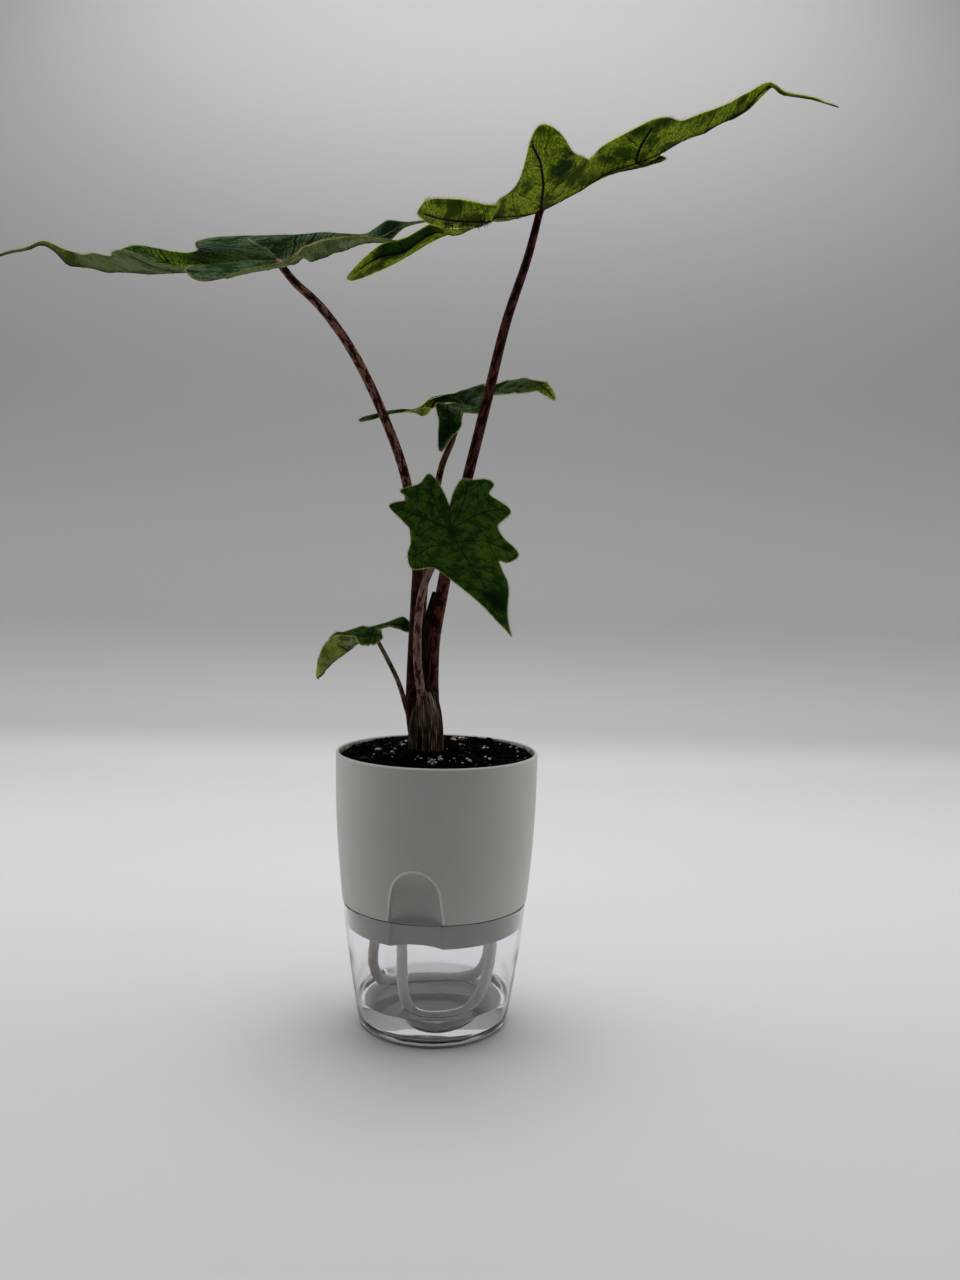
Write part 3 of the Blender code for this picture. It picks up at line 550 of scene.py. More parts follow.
# %% Water
WATER_LEVEL = 14.5
WATER_GAP = 0.06
clear_water = new_finish("clear_water", (0.985, 0.99, 0.99), 0.0,
                         Transmission_Weight=1.0, IOR=1.33)
bumped(clear_water, speckle(clear_water, object_place(clear_water), 45, 1.0), 0.0006, 0.4)
water_profile = [(2.0, 3.0 + WATER_GAP), (34.0, 3.0 + WATER_GAP), (35.9, 3.5 + WATER_GAP),
                 (36.7, 4.5), (37.05 - WATER_GAP, 5.6)]
water_profile += [(cup_inside(z) - WATER_GAP, z) for z in (9, 12, WATER_LEVEL + 0.6)]
water_profile += [(cup_inside(WATER_LEVEL) - 0.5, WATER_LEVEL + 0.25),
                  (cup_inside(WATER_LEVEL) - 1.3, WATER_LEVEL), (2.0, WATER_LEVEL)]
water = lathe("water_body", water_profile, ROUND_STEPS)
for route in WICKS.values():
    room = smooth_line([(*point, WICK_RADIUS + HOLE_GAP) for point in route], 3)
    combine(water, tube("room", room, 20))
smooth_faces(water, 50)
fit(water, "water", clear_water, node="water")
print("water faces:", len(water.data.polygons))

# %% [markdown]
# ## The pot
# The white pot is a slightly bulging barrel that sits on the cup's rim, with a
# narrower band that slips inside. At the front, a leaning arch is pressed inwards,
# through which the cup is filled. The barrel is turned, and a round-nosed bar is
# then taken away from it, with a thicker bar kept out of its inside so that the
# arch has a wall.

# %% Pot profile
SEAM_HEIGHT = 64.2
POT_HEIGHT = 140.0
POT_WALL = 1.8
POT_BOTTOM = 51.5
POT_FLOOR = 53.5
RIM_RADIUS = 51.0
SKIRT_RADIUS = 47.0
SKIRT_BULGE = 1.1


def skirt_radius(height):
    """Outer radius of the pot's barrel."""
    share = (height - SEAM_HEIGHT) / (POT_HEIGHT - SEAM_HEIGHT)
    return (SKIRT_RADIUS + (RIM_RADIUS - SKIRT_RADIUS) * share
            + SKIRT_BULGE * math.sin(math.pi * share))


def band_radius(height):
    """Outer radius of the part that slips into the cup."""
    return cup_inside(height) - CUP_BAND_GAP


def inside_pot(clearance, top, low, steps):
    """The inner wall from the top down to the floor."""
    wall_thickness = POT_WALL + clearance
    heights = np.linspace(top, SEAM_HEIGHT + 2, steps)
    line = [(skirt_radius(z) - wall_thickness, z) for z in heights]
    return line + [(band_radius(62) - wall_thickness, 62),
                   (band_radius(low + 2) - wall_thickness, low + 2),
                   (band_radius(low) - wall_thickness - 1.5, low), (2.0, low)]


# %% Notch bar
NOTCH_RADIUS = 22.0
NOTCH_REACH = 64.9
NOTCH_HEIGHT = 75.0
NOTCH_TILT = math.radians(12)
NOTCH_TURN = math.radians(-9.3)
OUTWARD = np.array([math.sin(NOTCH_TURN), -math.cos(NOTCH_TURN), 0.0])
NOSE = OUTWARD * NOTCH_REACH + (0, 0, NOTCH_HEIGHT)
LIP_RADIUS = 0.75
LIP_SINK = 0.35
LIP_FOOT = SEAM_HEIGHT + 0.7


def notch_bar(name, radius):
    """A leaning round-nosed bar that shapes the filling arch."""
    bend = np.linspace(0.02, math.pi / 2, 24)
    arc = [(radius * math.sin(angle), radius * math.cos(angle)) for angle in bend]
    made = lathe(name, arc + [(radius, -60.0)], 96)
    across = Vector(OUTWARD).cross(Vector((0, 0, 1)))
    made.data.transform(Matrix.Translation(NOSE * MM)
                        @ Matrix.Rotation(-NOTCH_TILT, 4, across))
    return made


def bar_depth(point):
    """How far a point lies outside the bar, in millimetres. Inside it is below zero."""
    axis = OUTWARD * math.sin(NOTCH_TILT) + (0, 0, math.cos(NOTCH_TILT))
    offset = np.array(point) - NOSE
    return float(np.linalg.norm(offset - min(offset @ axis, 0.0) * axis)) - NOTCH_RADIUS


def barrel_point(run, height, sunk=0.0):
    """A point on the barrel, a run in millimetres round it from the arch's middle."""
    radius = skirt_radius(height) - sunk
    turn = NOTCH_TURN + run / skirt_radius(height)
    return np.array([radius * math.sin(turn), -radius * math.cos(turn), height])


def lip_line(count):
    """The arch's edge on the barrel, from its right foot over the top to its left foot."""
    line = []
    for angle in np.linspace(0, math.pi, count):
        near, far = 0.0, 40.0
        for _ in range(30):
            middle = (near + far) / 2
            spot = barrel_point(middle * math.cos(angle),
                                LIP_FOOT + middle * math.sin(angle))
            near, far = (middle, far) if bar_depth(spot) < 0 else (near, middle)
        thick = np.interp(angle, (0, 2.2, math.pi), (LIP_RADIUS, LIP_RADIUS, LIP_RADIUS / 2))
        spot = barrel_point(near * math.cos(angle), LIP_FOOT + near * math.sin(angle),
                            thick * LIP_SINK)
        line.append((*spot, thick))
    return np.array(line)


# %% Pot
pot_side = [(skirt_radius(z), z) for z in np.linspace(POT_HEIGHT - 0.8, SEAM_HEIGHT + 0.5, 22)]
pot_profile = [(2.0, POT_HEIGHT), (RIM_RADIUS - 1.2, POT_HEIGHT),
               (RIM_RADIUS - 0.5, POT_HEIGHT - 0.2)] + pot_side
pot_profile += [(skirt_radius(SEAM_HEIGHT) - 0.3, SEAM_HEIGHT + 0.1),
                (skirt_radius(SEAM_HEIGHT) - 0.8, SEAM_HEIGHT),
                (band_radius(SEAM_HEIGHT), SEAM_HEIGHT), (band_radius(60), 60),
                (band_radius(56), 56), (band_radius(POT_BOTTOM + 1), POT_BOTTOM + 1),
                (band_radius(POT_BOTTOM) - 1, POT_BOTTOM), (2.0, POT_BOTTOM)]
pot = lathe("white_pot", pot_profile, ROUND_STEPS)
lip = skirt_radius(POT_HEIGHT - 2) - POT_WALL
cavity_profile = [(2.0, POT_HEIGHT + 5), (lip + 0.9, POT_HEIGHT + 5),
                  (lip + 0.9, POT_HEIGHT + 0.01), (lip + 0.3, POT_HEIGHT - 0.5)]
cavity = lathe("pot_cavity", cavity_profile + inside_pot(0, POT_HEIGHT - 2, POT_FLOOR, 14),
               ROUND_STEPS)
combine(cavity, notch_bar("notch_inside", NOTCH_RADIUS + POT_WALL))
combine(pot, cavity)
combine(pot, notch_bar("notch_outside", NOTCH_RADIUS))
for end in WICK_ENDS:
    drill(pot, end, WICK_RADIUS + HOLE_GAP, POT_BOTTOM - 5, POT_FLOOR + 5, 40)
combine(pot, tube("arch_lip", lip_line(64), 16), "UNION")
smooth_faces(pot, 30)
# The arch field holds painted light and shade: 0 on the lip bead, which gets a painted highlight,
# up to 1 inside the pressed-in arch, which gets painted shade, and 0.5 elsewhere.
arch_light_field = pot.data.attributes.new("arch", "FLOAT", "POINT")
wall_field = pot.data.attributes.new("inner_wall", "FLOAT", "POINT")
for vertex in pot.data.vertices:
    x, y, z = vertex.co / MM
    depth, reach = bar_depth((x, y, z)), math.hypot(x, y)
    proud = z > SEAM_HEIGHT and depth < 1.0 and reach > skirt_radius(z) + 0.12
    pressed = min(max((0.1 - depth) / 0.2, 0.0), 1.0) if z > SEAM_HEIGHT - 0.5 else 0.0
    arch_light_field.data[vertex.index].value = 0.0 if proud else 0.5 + 0.5 * pressed
    wall_field.data[vertex.index].value = float(120 < z < POT_HEIGHT - 1.2
                                                and reach < skirt_radius(z) - 1.2)
print("pot faces:", len(pot.data.polygons))

# %% Pot finish
white_plastic = new_finish("warm_white_plastic", roughness=0.38, Specular_IOR_Level=0.3)
pot_place = object_place(white_plastic)
pot_base = mottle(white_plastic, pot_place, 14, 3.0,
                  [(0.3, (0.55, 0.565, 0.505)), (0.7, (0.59, 0.605, 0.55))])
# Painted shade inside the pressed-in arch, then a painted highlight on its lip bead.
arch_painted_light = field(white_plastic, "arch")
pot_base = blend(white_plastic, ramp(white_plastic, arch_painted_light, [(0.5, 0.0), (1.0, 1.0)]),
                 pot_base, (0.28, 0.29, 0.25))
pot_base = blend(white_plastic, ramp(white_plastic, arch_painted_light, [(0.0, 0.6), (0.5, 0.0)]),
                 pot_base, (0.8, 0.81, 0.76))
dirt = mottle(white_plastic, pot_place, 190, 4.0, [(0.44, 0.0), (0.54, 0.85)])
dirty = maths(white_plastic, "MULTIPLY", dirt, field(white_plastic, "inner_wall"))
into_shader(white_plastic, "Base Color",
            blend(white_plastic, dirty, pot_base, (0.06, 0.045, 0.03)))
into_shader(white_plastic, "Roughness",
            mottle(white_plastic, pot_place, 60, 4.0, [(0.3, 0.34), (0.7, 0.46)]))
bumped(white_plastic, speckle(white_plastic, pot_place, 1400), 0.00008, 0.6)
fit(pot, "warm_white_plastic", white_plastic, node="inner_pot")
print("pot box:", [round(x, 4) for x in pot.dimensions])

# %% [markdown]
# ## The soil
# Dark potting mix fills the pot, heaped a little round the crown. A turned body
# gets its rough top from noise, and crumbs, white perlite and bark chips are
# scattered on it. Each kind of grain is one rough stone, copied with its own chance.

# %% Soil body
SOIL_LEVEL = 136.5
MOUND, MOUND_REACH = 6.5, 20.0
BACK_RISE = 3.0
CROWN = (-5.5, -3.0)
CROWN_HOLE = 9.4
SOIL_GAP = 0.3
WICK_TOP = WICK_FRONT[0][2]


def soil_height(x, y):
    """Height of the soil at a place, in millimetres."""
    away = math.hypot(x - CROWN[0], y - CROWN[1])
    height = SOIL_LEVEL + MOUND * math.exp(-(away / MOUND_REACH) ** 2)
    height += BACK_RISE * y / RIM_RADIUS
    edge = max(0.0, 1.0 - (math.hypot(x, y) / 47.5) ** 8)
    crumbs = noise.noise(Vector((x, y, 3.0)) / 5.0) + 0.5 * noise.noise(Vector((x, y, 9.0)) / 2.4)
    rough = noise.noise(Vector((x, y, 5.0)) / 1.1) + 0.6 * noise.noise(Vector((x, y, 2.0)) / 0.55)
    return height + 1.4 * crumbs * edge + 0.55 * rough * edge


soil_edge = skirt_radius(SOIL_LEVEL) - POT_WALL - SOIL_GAP
soil_rings = [(max(soil_edge * i / 70, 0.3), SOIL_LEVEL) for i in range(71)]
soil = lathe("soil_bed", soil_rings + inside_pot(SOIL_GAP, 126, POT_FLOOR + SOIL_GAP, 8), 200)
for vertex in soil.data.vertices:
    if vertex.co.z > (SOIL_LEVEL - 1.0) * MM:
        vertex.co.z = soil_height(vertex.co.x / MM, vertex.co.y / MM) * MM
        away = math.hypot(vertex.co.x, vertex.co.y)
        if away > (soil_edge - 0.5) * MM:
            side = skirt_radius(vertex.co.z / MM) - POT_WALL - SOIL_GAP
            vertex.co.x *= side * MM / away
            vertex.co.y *= side * MM / away
combine(soil, notch_bar("notch_soil", NOTCH_RADIUS + POT_WALL + SOIL_GAP))
drill(soil, CROWN, CROWN_HOLE, 111, 180, 32)
for end in WICK_ENDS:
    drill(soil, end, WICK_RADIUS + SOIL_GAP, 40, WICK_TOP + SOIL_GAP, 32)
soil.data.shade_smooth()
print("soil faces:", len(soil.data.polygons))

# %% Soil finish
peat = new_finish("moist_peat", roughness=0.9, Specular_IOR_Level=0.01)
peat_place = object_place(peat)
peat_mix = speckle(peat, peat_place, 420, 4.0)
peat_spots = mottle(peat, peat_place, 160, 2.0, [(0.64, 0.0), (0.72, 0.5)])
peat_colour = ramp(peat, peat_mix, [(0.3, (0.0006, 0.0005, 0.0004)),
                                    (0.55, (0.0018, 0.0014, 0.001)),
                                    (0.75, (0.008, 0.0055, 0.0038))])
into_shader(peat, "Base Color", blend(peat, peat_spots, peat_colour, (0.022, 0.013, 0.008)))
bumped(peat, peat_mix, 0.0008)
fit(soil, "potting_soil", peat, node="soil")


# %% Scattered grains
GRAIN_SINK = 0.35
GRAIN_ROOM = 0.4


def scatter(name, finish, count, seed, size, squash, places=None, spread=3.0, rough=0.28):
    """Copies of one rough stone, laid on the soil. Sizes are in millimetres."""
    deselect()
    bpy.ops.mesh.primitive_ico_sphere_add(subdivisions=2, radius=1.0, location=(0, 0, 0))
    stone = bpy.context.object
    base = np.array([vertex.co for vertex in stone.data.vertices])
    corners = [tuple(face.vertices) for face in stone.data.polygons]
    bpy.data.objects.remove(stone)
    chance = np.random.default_rng(seed)
    points, faces = [], []
    for index in range(count):
        radius = chance.uniform(*size) / 2
        if places:
            x, y = np.array(places[index % len(places)]) + chance.normal(0, spread, 2)
        else:
            x, y = chance.uniform(-47, 47, 2)
        if (math.hypot(x, y) > soil_edge - radius - 0.3
                or math.hypot(x - CROWN[0], y - CROWN[1]) < CROWN_HOLE + GRAIN_ROOM):
            continue
        bumps = 1 + rough * np.array([noise.noise(Vector(point) * 1.3
                                                  + Vector((index, seed, 0))) for point in base])
        spin = Matrix.Rotation(chance.uniform(0, 6.28), 3, "Z") @ Matrix.Rotation(
            chance.normal(0, 0.35), 3, "X")
        shape = base * bumps[:, None] * radius * np.array(squash)
        shape = shape @ np.array(spin).T
        shape += (x, y, soil_height(x, y) + radius * squash[2] * (1 - 2 * GRAIN_SINK))
        start = len(points)
        points += [point * MM for point in shape]
        faces += [tuple(corner + start for corner in face) for face in corners]
    made = mesh_piece(name, points, faces)
    made.data.shade_smooth()
    fit(made, "potting_soil", finish)
    print(name, "faces:", len(faces))


scatter("soil_crumbs", peat, 620, 4, (1.0, 3.4), (1, 0.8, 0.7), rough=0.6)

# %% Perlite and bark
PERLITE_SPOTS = [(-1, -19), (-8, -21), (-22, -6), (-19, 5.5), (-29, 10), (-16, 30), (3, 10),
                 (5, 36), (14, 37), (14, 24), (14, -21), (8, -19), (23, 16), (42, 1), (40, 21),
                 (27, -6), (-2, -22), (2, -17), (10, 41), (18, -15)]
perlite_white = grainy_finish("perlite", 500, 2.0, [
    (0.3, (0.2, 0.15, 0.13)), (0.6, (0.6, 0.52, 0.48))], 0.0004, roughness=0.85,
    Specular_IOR_Level=0.2)
bark_red = grainy_finish("bark_chip", 300, 3.0, [
    (0.3, (0.006, 0.003, 0.002)), (0.7, (0.05, 0.022, 0.013))], 0.0005, (1, 4, 1),
    roughness=0.8, Specular_IOR_Level=0.1)
scatter("perlite_grains", perlite_white, 80, 11, (0.9, 2.3), (1, 0.9, 0.8), PERLITE_SPOTS, 1.6)
scatter("perlite_strays", perlite_white, 44, 23, (0.6, 1.5), (1, 0.9, 0.8))
scatter("bark_chips", bark_red, 46, 31, (2.0, 4.6), (1.3, 0.55, 0.35), rough=0.4)

# %% [markdown]
# ## Stalks and sheaths
# Each leaf has its own long stalk, thick at the crown and thin at the blade. The
# stalks are pinkish tan with dark oblong marks, and the tallest is dark maroon.
# They are tubes along the same lines as the solids, and their last points reach into
# the blades. The marks follow each stalk's own length and turn.

# %% Stalk lines
STALKS = {
    "right": [
        (-4, -2, 132, 3.4), (-2.5, 0, 158, 3.3), (-3, 0, 176, 3.2), (-2.5, 1, 196, 3.2),
        (0.5, 2, 216, 3.2), (5.5, 2, 244, 3.0), (12.9, 2, 277, 2.7), (21.9, 4, 316, 2.6),
        (30.5, 7, 354, 2.4), (40.5, 10, 386, 2.1), (46.3, 16.3, 410.2, 1.9),
        (46.8, 16.7, 411.9, 2.1),
    ],
    "left": [
        (-9, -3, 132, 2.8), (-13, -3, 158, 2.9), (-13, -3, 176, 2.9), (-12.3, -3, 196, 2.9),
        (-11.6, -3, 216, 2.8), (-11.5, -4, 240, 2.6), (-17.3, -5, 275, 2.4),
        (-27.7, -6, 304, 2.3), (-42.5, -6, 334, 2.3), (-58.6, -4, 356.5, 2.2),
        (-73.5, -3, 370.5, 2.0), (-81.3, 2.7, 379.9, 1.9),
        (-82.2, 3.4, 380.2, 2.0),
    ],
    "front": [
        (-5.5, -5, 132, 2.4), (-5.9, -9, 154, 2.4), (-7.5, -11, 167, 2.3), (-9.8, -15, 187, 2.1),
        (-9.4, -19, 207, 2.0), (-7.3, -22, 222, 1.9), (-3.5, -24, 232, 1.8),
        (2, -26.5, 242, 1.7), (5.6, -31, 249.5, 1.6), (5.9, -33.0, 250.7, 1.8),
    ],
    "middle": [
        (-6, 1, 132, 2.2), (-8.1, 1, 165, 2.2), (-8.6, 3, 190, 2.1), (-8.5, 5, 216, 2.0),
        (-4.8, 10, 256, 1.8), (-0.9, 15, 282, 1.7), (4.4, 19, 297, 1.6), (9.2, 24.2, 314.2, 1.4),
        (9.8, 24.8, 316.0, 1.6),
    ],
    "low": [
        (-9, -3, 134, 1.4), (-12.4, -3, 150, 1.4), (-15.4, -3, 160.5, 1.3),
        (-20, -2, 174.5, 1.2), (-27, 0, 188, 1.1), (-31.9, 0.8, 196.4, 1.0),
        (-32.5, 0.9, 197.3, 1.1),
    ],
}
SHEATHS = [
    [(-5.8, -3, 112, 7.0), (-5.8, -3, 120, 8.6), (-5.8, -3, 148, 8.6), (-5.6, -3, 160, 7.2),
     (-5.5, -2.5, 170, 4.2)],
    [(-5, -6.8, 140, 5.2), (-5, -7, 150, 5.2), (-5.4, -8.4, 158, 5.0), (-6.2, -9.8, 166, 3.9),
     (-6.8, -10.4, 170, 3.0)],
    [(-6.5, -1, 150, 5.2), (-6.5, 0, 176, 4.6), (-5.5, 1, 196, 3.6), (-4.5, 1.5, 210, 1.8),
     (-2.5, 1.5, 220, 0.8)],
]


# %% Stalk finishes
def streaks_along(finish, scale, detail=3.0, **inputs):
    """Noise on a tube's own chart, with its scale round the tube and along it."""
    chart = add_node(finish, "UVMap", uv_map="length").outputs[0]
    moved = add_node(finish, "Mapping", {"Vector": chart, "Scale": (*scale, 1.0)}).outputs[0]
    return add_node(finish, "TexNoise", {"Vector": moved, "Scale": 1.0, "Detail": detail,
                                         **inputs}).outputs[0]


def stalk_finish(name, pale, dark, mark, share, foot=None, foot_end=0.1):
    """Skin with dark oblong marks. share is how much of it they cover, foot its low colour."""
    made = new_finish(name, roughness=0.55, Specular_IOR_Level=0.05)
    streaks = streaks_along(made, (30.0, 600.0))
    marks = streaks_along(made, (6.0, 150.0), Roughness=0.65, Distortion=0.4)
    skin = ramp(made, streaks, [(0.3, dark), (0.7, pale)])
    if foot:
        chart = add_node(made, "UVMap", uv_map="length").outputs[0]
        along = add_node(made, "SeparateXYZ", {0: chart}).outputs[1]
        low = ramp(made, along, [(foot_end, 1.0), (foot_end + 0.05, 0.0)])
        skin = blend(made, low, skin, ramp(made, streaks, [(0.3, tuple(0.5 * c for c in foot)),
                                                           (0.7, foot)]))
    edge = 0.5 + 0.22 * (0.5 - share)
    spots = ramp(made, marks, [(edge, 0.0), (edge + 0.07, 0.95)])
    into_shader(made, "Base Color", blend(made, spots, skin, mark))
    bumped(made, streaks, 0.0002, 0.5)
    return made


STALK_SKINS = {
    "right": stalk_finish("maroon_stalk", (0.15, 0.042, 0.03), (0.065, 0.016, 0.012),
                          (0.01, 0.002, 0.002), 0.7),
    "left": stalk_finish("tan_stalk", (0.31, 0.15, 0.105), (0.15, 0.062, 0.042),
                         (0.014, 0.003, 0.002), 0.66, (0.07, 0.02, 0.014), 0.105),
    "front": stalk_finish("pink_stalk", (0.33, 0.2, 0.155), (0.19, 0.105, 0.08),
                          (0.045, 0.014, 0.009), 0.55),
    "middle": stalk_finish("brown_stalk", (0.2, 0.105, 0.055), (0.1, 0.042, 0.022),
                           (0.016, 0.004, 0.003), 0.6),
    "low": stalk_finish("green_stalk", (0.24, 0.2, 0.07), (0.13, 0.1, 0.035),
                        (0.035, 0.016, 0.008), 0.6, (0.34, 0.22, 0.16), 0.03),
}

# %% Stalks
for stalk_name, points in STALKS.items():
    stalk = tube("stalk_" + stalk_name, smooth_line(points, 8), 28)
    fit(stalk, "mottled_stalk", STALK_SKINS[stalk_name], node="stems")
    print(stalk.name, "from", points[0][:3], "to", points[-1][:3])


# %% Sheaths
def sheath_finish(name, dark, middle, pale):
    """Dry striped sheath."""
    made = new_finish(name, roughness=0.75, Specular_IOR_Level=0.05)
    mix = streaks_along(made, (40.0, 70.0), 4.0, Roughness=0.65)
    into_shader(made, "Base Color", ramp(made, mix, [(0.4, dark), (0.52, middle), (0.63, pale)]))
    bumped(made, mix, 0.0007)
    return made


def folds(turn, run):
    """Lengthwise pleats of a dry sheath."""
    return 0.00035 * np.sin(9 * turn + 40 * run) + 0.0002 * np.sin(23 * turn - 90 * run)


SHEATH_SKINS = [
    sheath_finish("papery_sheath", (0.006, 0.002, 0.002), (0.035, 0.018, 0.01),
                  (0.2, 0.145, 0.085)),
    sheath_finish("pale_sheath", (0.01, 0.006, 0.003), (0.1, 0.07, 0.037),
                  (0.46, 0.37, 0.24)),
    sheath_finish("dark_sheath", (0.004, 0.002, 0.001), (0.026, 0.012, 0.007),
                  (0.11, 0.06, 0.035)),
]
for index, (points, skin) in enumerate(zip(SHEATHS, SHEATH_SKINS)):
    sheath = tube(f"sheath_{index}", smooth_line(points, 10), 72, folds)
    fit(sheath, "mottled_stalk", skin, node="stems")
    print(sheath.name, "faces:", len(sheath.data.polygons))

# %% [markdown]
# ## The blades
# A blade is drawn flat first: an arrow head with two rear lobes, side lobes and a
# long drawn-out tip. A grid of points fills the outline. A smooth map then carries
# each flat point to its place in space, through the same hold points as the solid.
# An outline as free as this can't be pulled from a primitive, so the mesh is made
# from points. Veins and quilting are worked out on the flat leaf, where they are
# simple, and stay with the surface as attributes.

# %% Flat outlines
GROWN_HALF = [
    (0.000, -0.075), (0.035, -0.2), (0.075, -0.34), (0.115, -0.46), (0.165, -0.53),
    (0.215, -0.5), (0.222, -0.42), (0.185, -0.33), (0.145, -0.24), (0.12, -0.15),
    (0.155, -0.095), (0.235, -0.055), (0.292, 0.00), (0.308, 0.055), (0.285, 0.105),
    (0.205, 0.13), (0.115, 0.145), (0.095, 0.185), (0.105, 0.24), (0.14, 0.31),
    (0.155, 0.36), (0.135, 0.41), (0.095, 0.46), (0.075, 0.54), (0.06, 0.62),
    (0.042, 0.7), (0.028, 0.77), (0.014, 0.84), (0.009, 0.92), (0.000, 1.00),
]
# A small grown leaf is plainer: its side lobe runs on into the blade without a notch
SMALL_HALF = GROWN_HALF[:13] + [
    (0.3, 0.055), (0.27, 0.11),
    (0.23, 0.15), (0.22, 0.2), (0.235, 0.26), (0.24, 0.32), (0.22, 0.4),
    (0.19, 0.5), (0.155, 0.6), (0.115, 0.7), (0.075, 0.8), (0.035, 0.91),
    (0.000, 1.00),
]
YOUNG_HALF = [
    (0.00, -0.17), (0.03, -0.27), (0.07, -0.37), (0.13, -0.41), (0.21, -0.38), (0.31, -0.34),
    (0.37, -0.29), (0.33, -0.235), (0.44, -0.17), (0.36, -0.07), (0.3, 0.00), (0.31, 0.1),
    (0.35, 0.19), (0.34, 0.26), (0.28, 0.3), (0.21, 0.32), (0.185, 0.39), (0.175, 0.48),
    (0.15, 0.6), (0.11, 0.74), (0.06, 0.87), (0.00, 1.00),
]
GROWN_VEINS = [[(0, 0), (0.09, -0.24), (0.165, -0.5)],
               [(0, 0), (0.14, 0.01), (0.23, 0.01), (0.275, -0.01)],
               [(0, 0.31), (0.07, 0.335), (0.125, 0.36)]]
YOUNG_VEINS = [[(0, 0), (0.09, -0.16), (0.14, -0.36)], [(0, 0), (0.2, -0.1), (0.4, -0.16)],
               [(0, 0.1), (0.18, 0.13), (0.32, 0.23)]]

# %% Hold points
# Each row is a place across and along the flat leaf, then its x, y and z in millimetres.
# A longer row goes on with x, y and z of the mirrored place on the leaf's other half.
RIGHT_HOLD = [
    (0, 0, 47, 17, 413), (0, 0.14, 68, 29, 427), (0, 0.28, 92, 40, 442), (0, 0.41, 113, 49, 454),
    (0, 0.54, 135, 59, 467), (0, 0.67, 158, 69, 482), (0, 0.8, 179, 73, 494),
    (0, 0.9, 199, 81, 494), (0, 1, 216, 90, 493), (0.19, -0.525, -9, -65, 389),
    (0.222, -0.42, -3, -55, 396), (0.185, -0.33, 10, -44, 399, -9, 5, 392),
    (0.115, -0.46, -6, -47, 388, -30, -9, 388), (0.075, -0.34, 0, -29, 391, -7, -4, 399),
    (0.035, -0.2, 17, -10, 397, 20, 1, 403), (0.09, -0.24, 21, -23, 396, 6, 7, 398),
    (0.12, -0.15, 26, -19, 407, 28, 15, 413), (0.235, -0.055, 37, -19, 422),
    (0.308, 0.055, 46, -15, 443, 76, 55, 447), (0.285, 0.105, 55, -10, 440, 83, 60, 451),
    (0.205, 0.13, 62, 3, 436), (0.115, 0.145, 69, 14, 437, 82, 36, 441),
    (0.105, 0.24, 78, 25, 447), (0.15, 0.345, 100, 26, 459, 115, 58, 452),
    (0.135, 0.41, 112, 31, 464, 111, 67, 458), (0.075, 0.54, 133, 51, 474, 138, 64, 474),
    (0.048, 0.67, 155, 63, 487), (0.028, 0.77, 173, 69, 497, 177, 75, 498),
    (-0.165, -0.53, -46, -7, 374), (-0.215, -0.4, -26, 5, 382), (-0.145, -0.24, 12, 9, 402),
    (-0.135, -0.4, -21, -3, 386), (-0.095, 0.46, 121, 65, 465), (-0.045, -0.12, 27, 11, 406),
]
LEFT_HOLD = [
    (0, 0, -83, 4, 382), (0, 0.14, -104, 11, 383), (0, 0.28, -128, 22, 381),
    (0, 0.41, -153, 29, 381), (0, 0.54, -177, 36, 383), (0, 0.67, -200, 43, 388),
    (0, 0.8, -220, 43, 396), (0, 0.9, -237, 49, 394), (0, 1, -253, 54, 389),
    (0.165, -0.53, -19, -53, 378, -9, 5, 403), (0.215, -0.5, -32, -58, 378, -19, 12, 404),
    (0.222, -0.42, -41, -58, 378, -30, 17, 406), (0.185, -0.33, -54, -47, 379, -40, 15, 399),
    (0.145, -0.24, -64, -35, 379, -51, 13, 398), (0.09, -0.24, -62, -25, 376),
    (0.135, -0.38, -46, -41, 377), (0.115, -0.46, -32, -42, 381, -27, 2, 393),
    (0.075, -0.34, -49, -30, 381, -40, -5, 391), (0.035, -0.2, -63, -15, 383, -58, -4, 389),
    (0.12, -0.15, -72, -25, 376, -65, 12, 398), (0.235, -0.055, -90, -36, 368, -90, 30, 401),
    (0.308, 0.055, -110, -36, 363, -113, 41, 403), (0.285, 0.105, -117, -30, 366, -122, 40, 402),
    (0.115, 0.145, -122, -4, 377, -125, 14, 390), (0.105, 0.24, -139, 2, 378),
    (0.15, 0.345, -156, 3, 385, -159, 32, 395), (0.135, 0.41, -166, 9, 386, -169, 33, 393),
    (0.075, 0.54, -181, 24, 389, -183, 34, 390), (0.028, 0.77, -214, 42, 399, -218, 47, 399),
    (-0.14, -0.5, -20, 4, 400), (0.048, 0.67, -196, 40, 393, -199, 48, 394),
    (0.045, -0.12, -72, -11, 378), (0.11, -0.31, -54, -34, 376),
]
FRONT_HOLD = [
    (0, 0, 6, -34, 251), (0, -0.17, 5, -29, 262), (0, 0.2, 12, -39, 240), (0, 0.4, 18, -44, 231),
    (0, 0.7, 25, -50, 219), (0, 0.9, 31, -55, 209), (0, 1, 35, -58, 203),
    (0.07, -0.37, 9, -25, 273, -3, -24, 276), (0.13, -0.41, 11, -24, 275, -6, -23, 277),
    (0.21, -0.38, 17, -23, 275, -9, -24, 273), (0.37, -0.29, 26, -21, 273, -19, -22, 269),
    (0.33, -0.235, 24, -24, 268, -15, -25, 265), (0.44, -0.17, 34, -24, 261, -24, -24, 262),
    (0.3, 0, 28, -30, 253, -13, -31, 250), (0.35, 0.19, 36, -34, 243, -14, -36, 239),
    (0.34, 0.26, 38, -36, 239, -13, -39, 234), (0.28, 0.3, 33, -39, 236, -10, -41, 232),
    (0.21, 0.32, 29, -40, 237, -2, -41, 233), (0.175, 0.48, 33, -45, 227, 9, -45, 226),
    (0.11, 0.74, 33, -52, 213, 23, -52, 215),
]
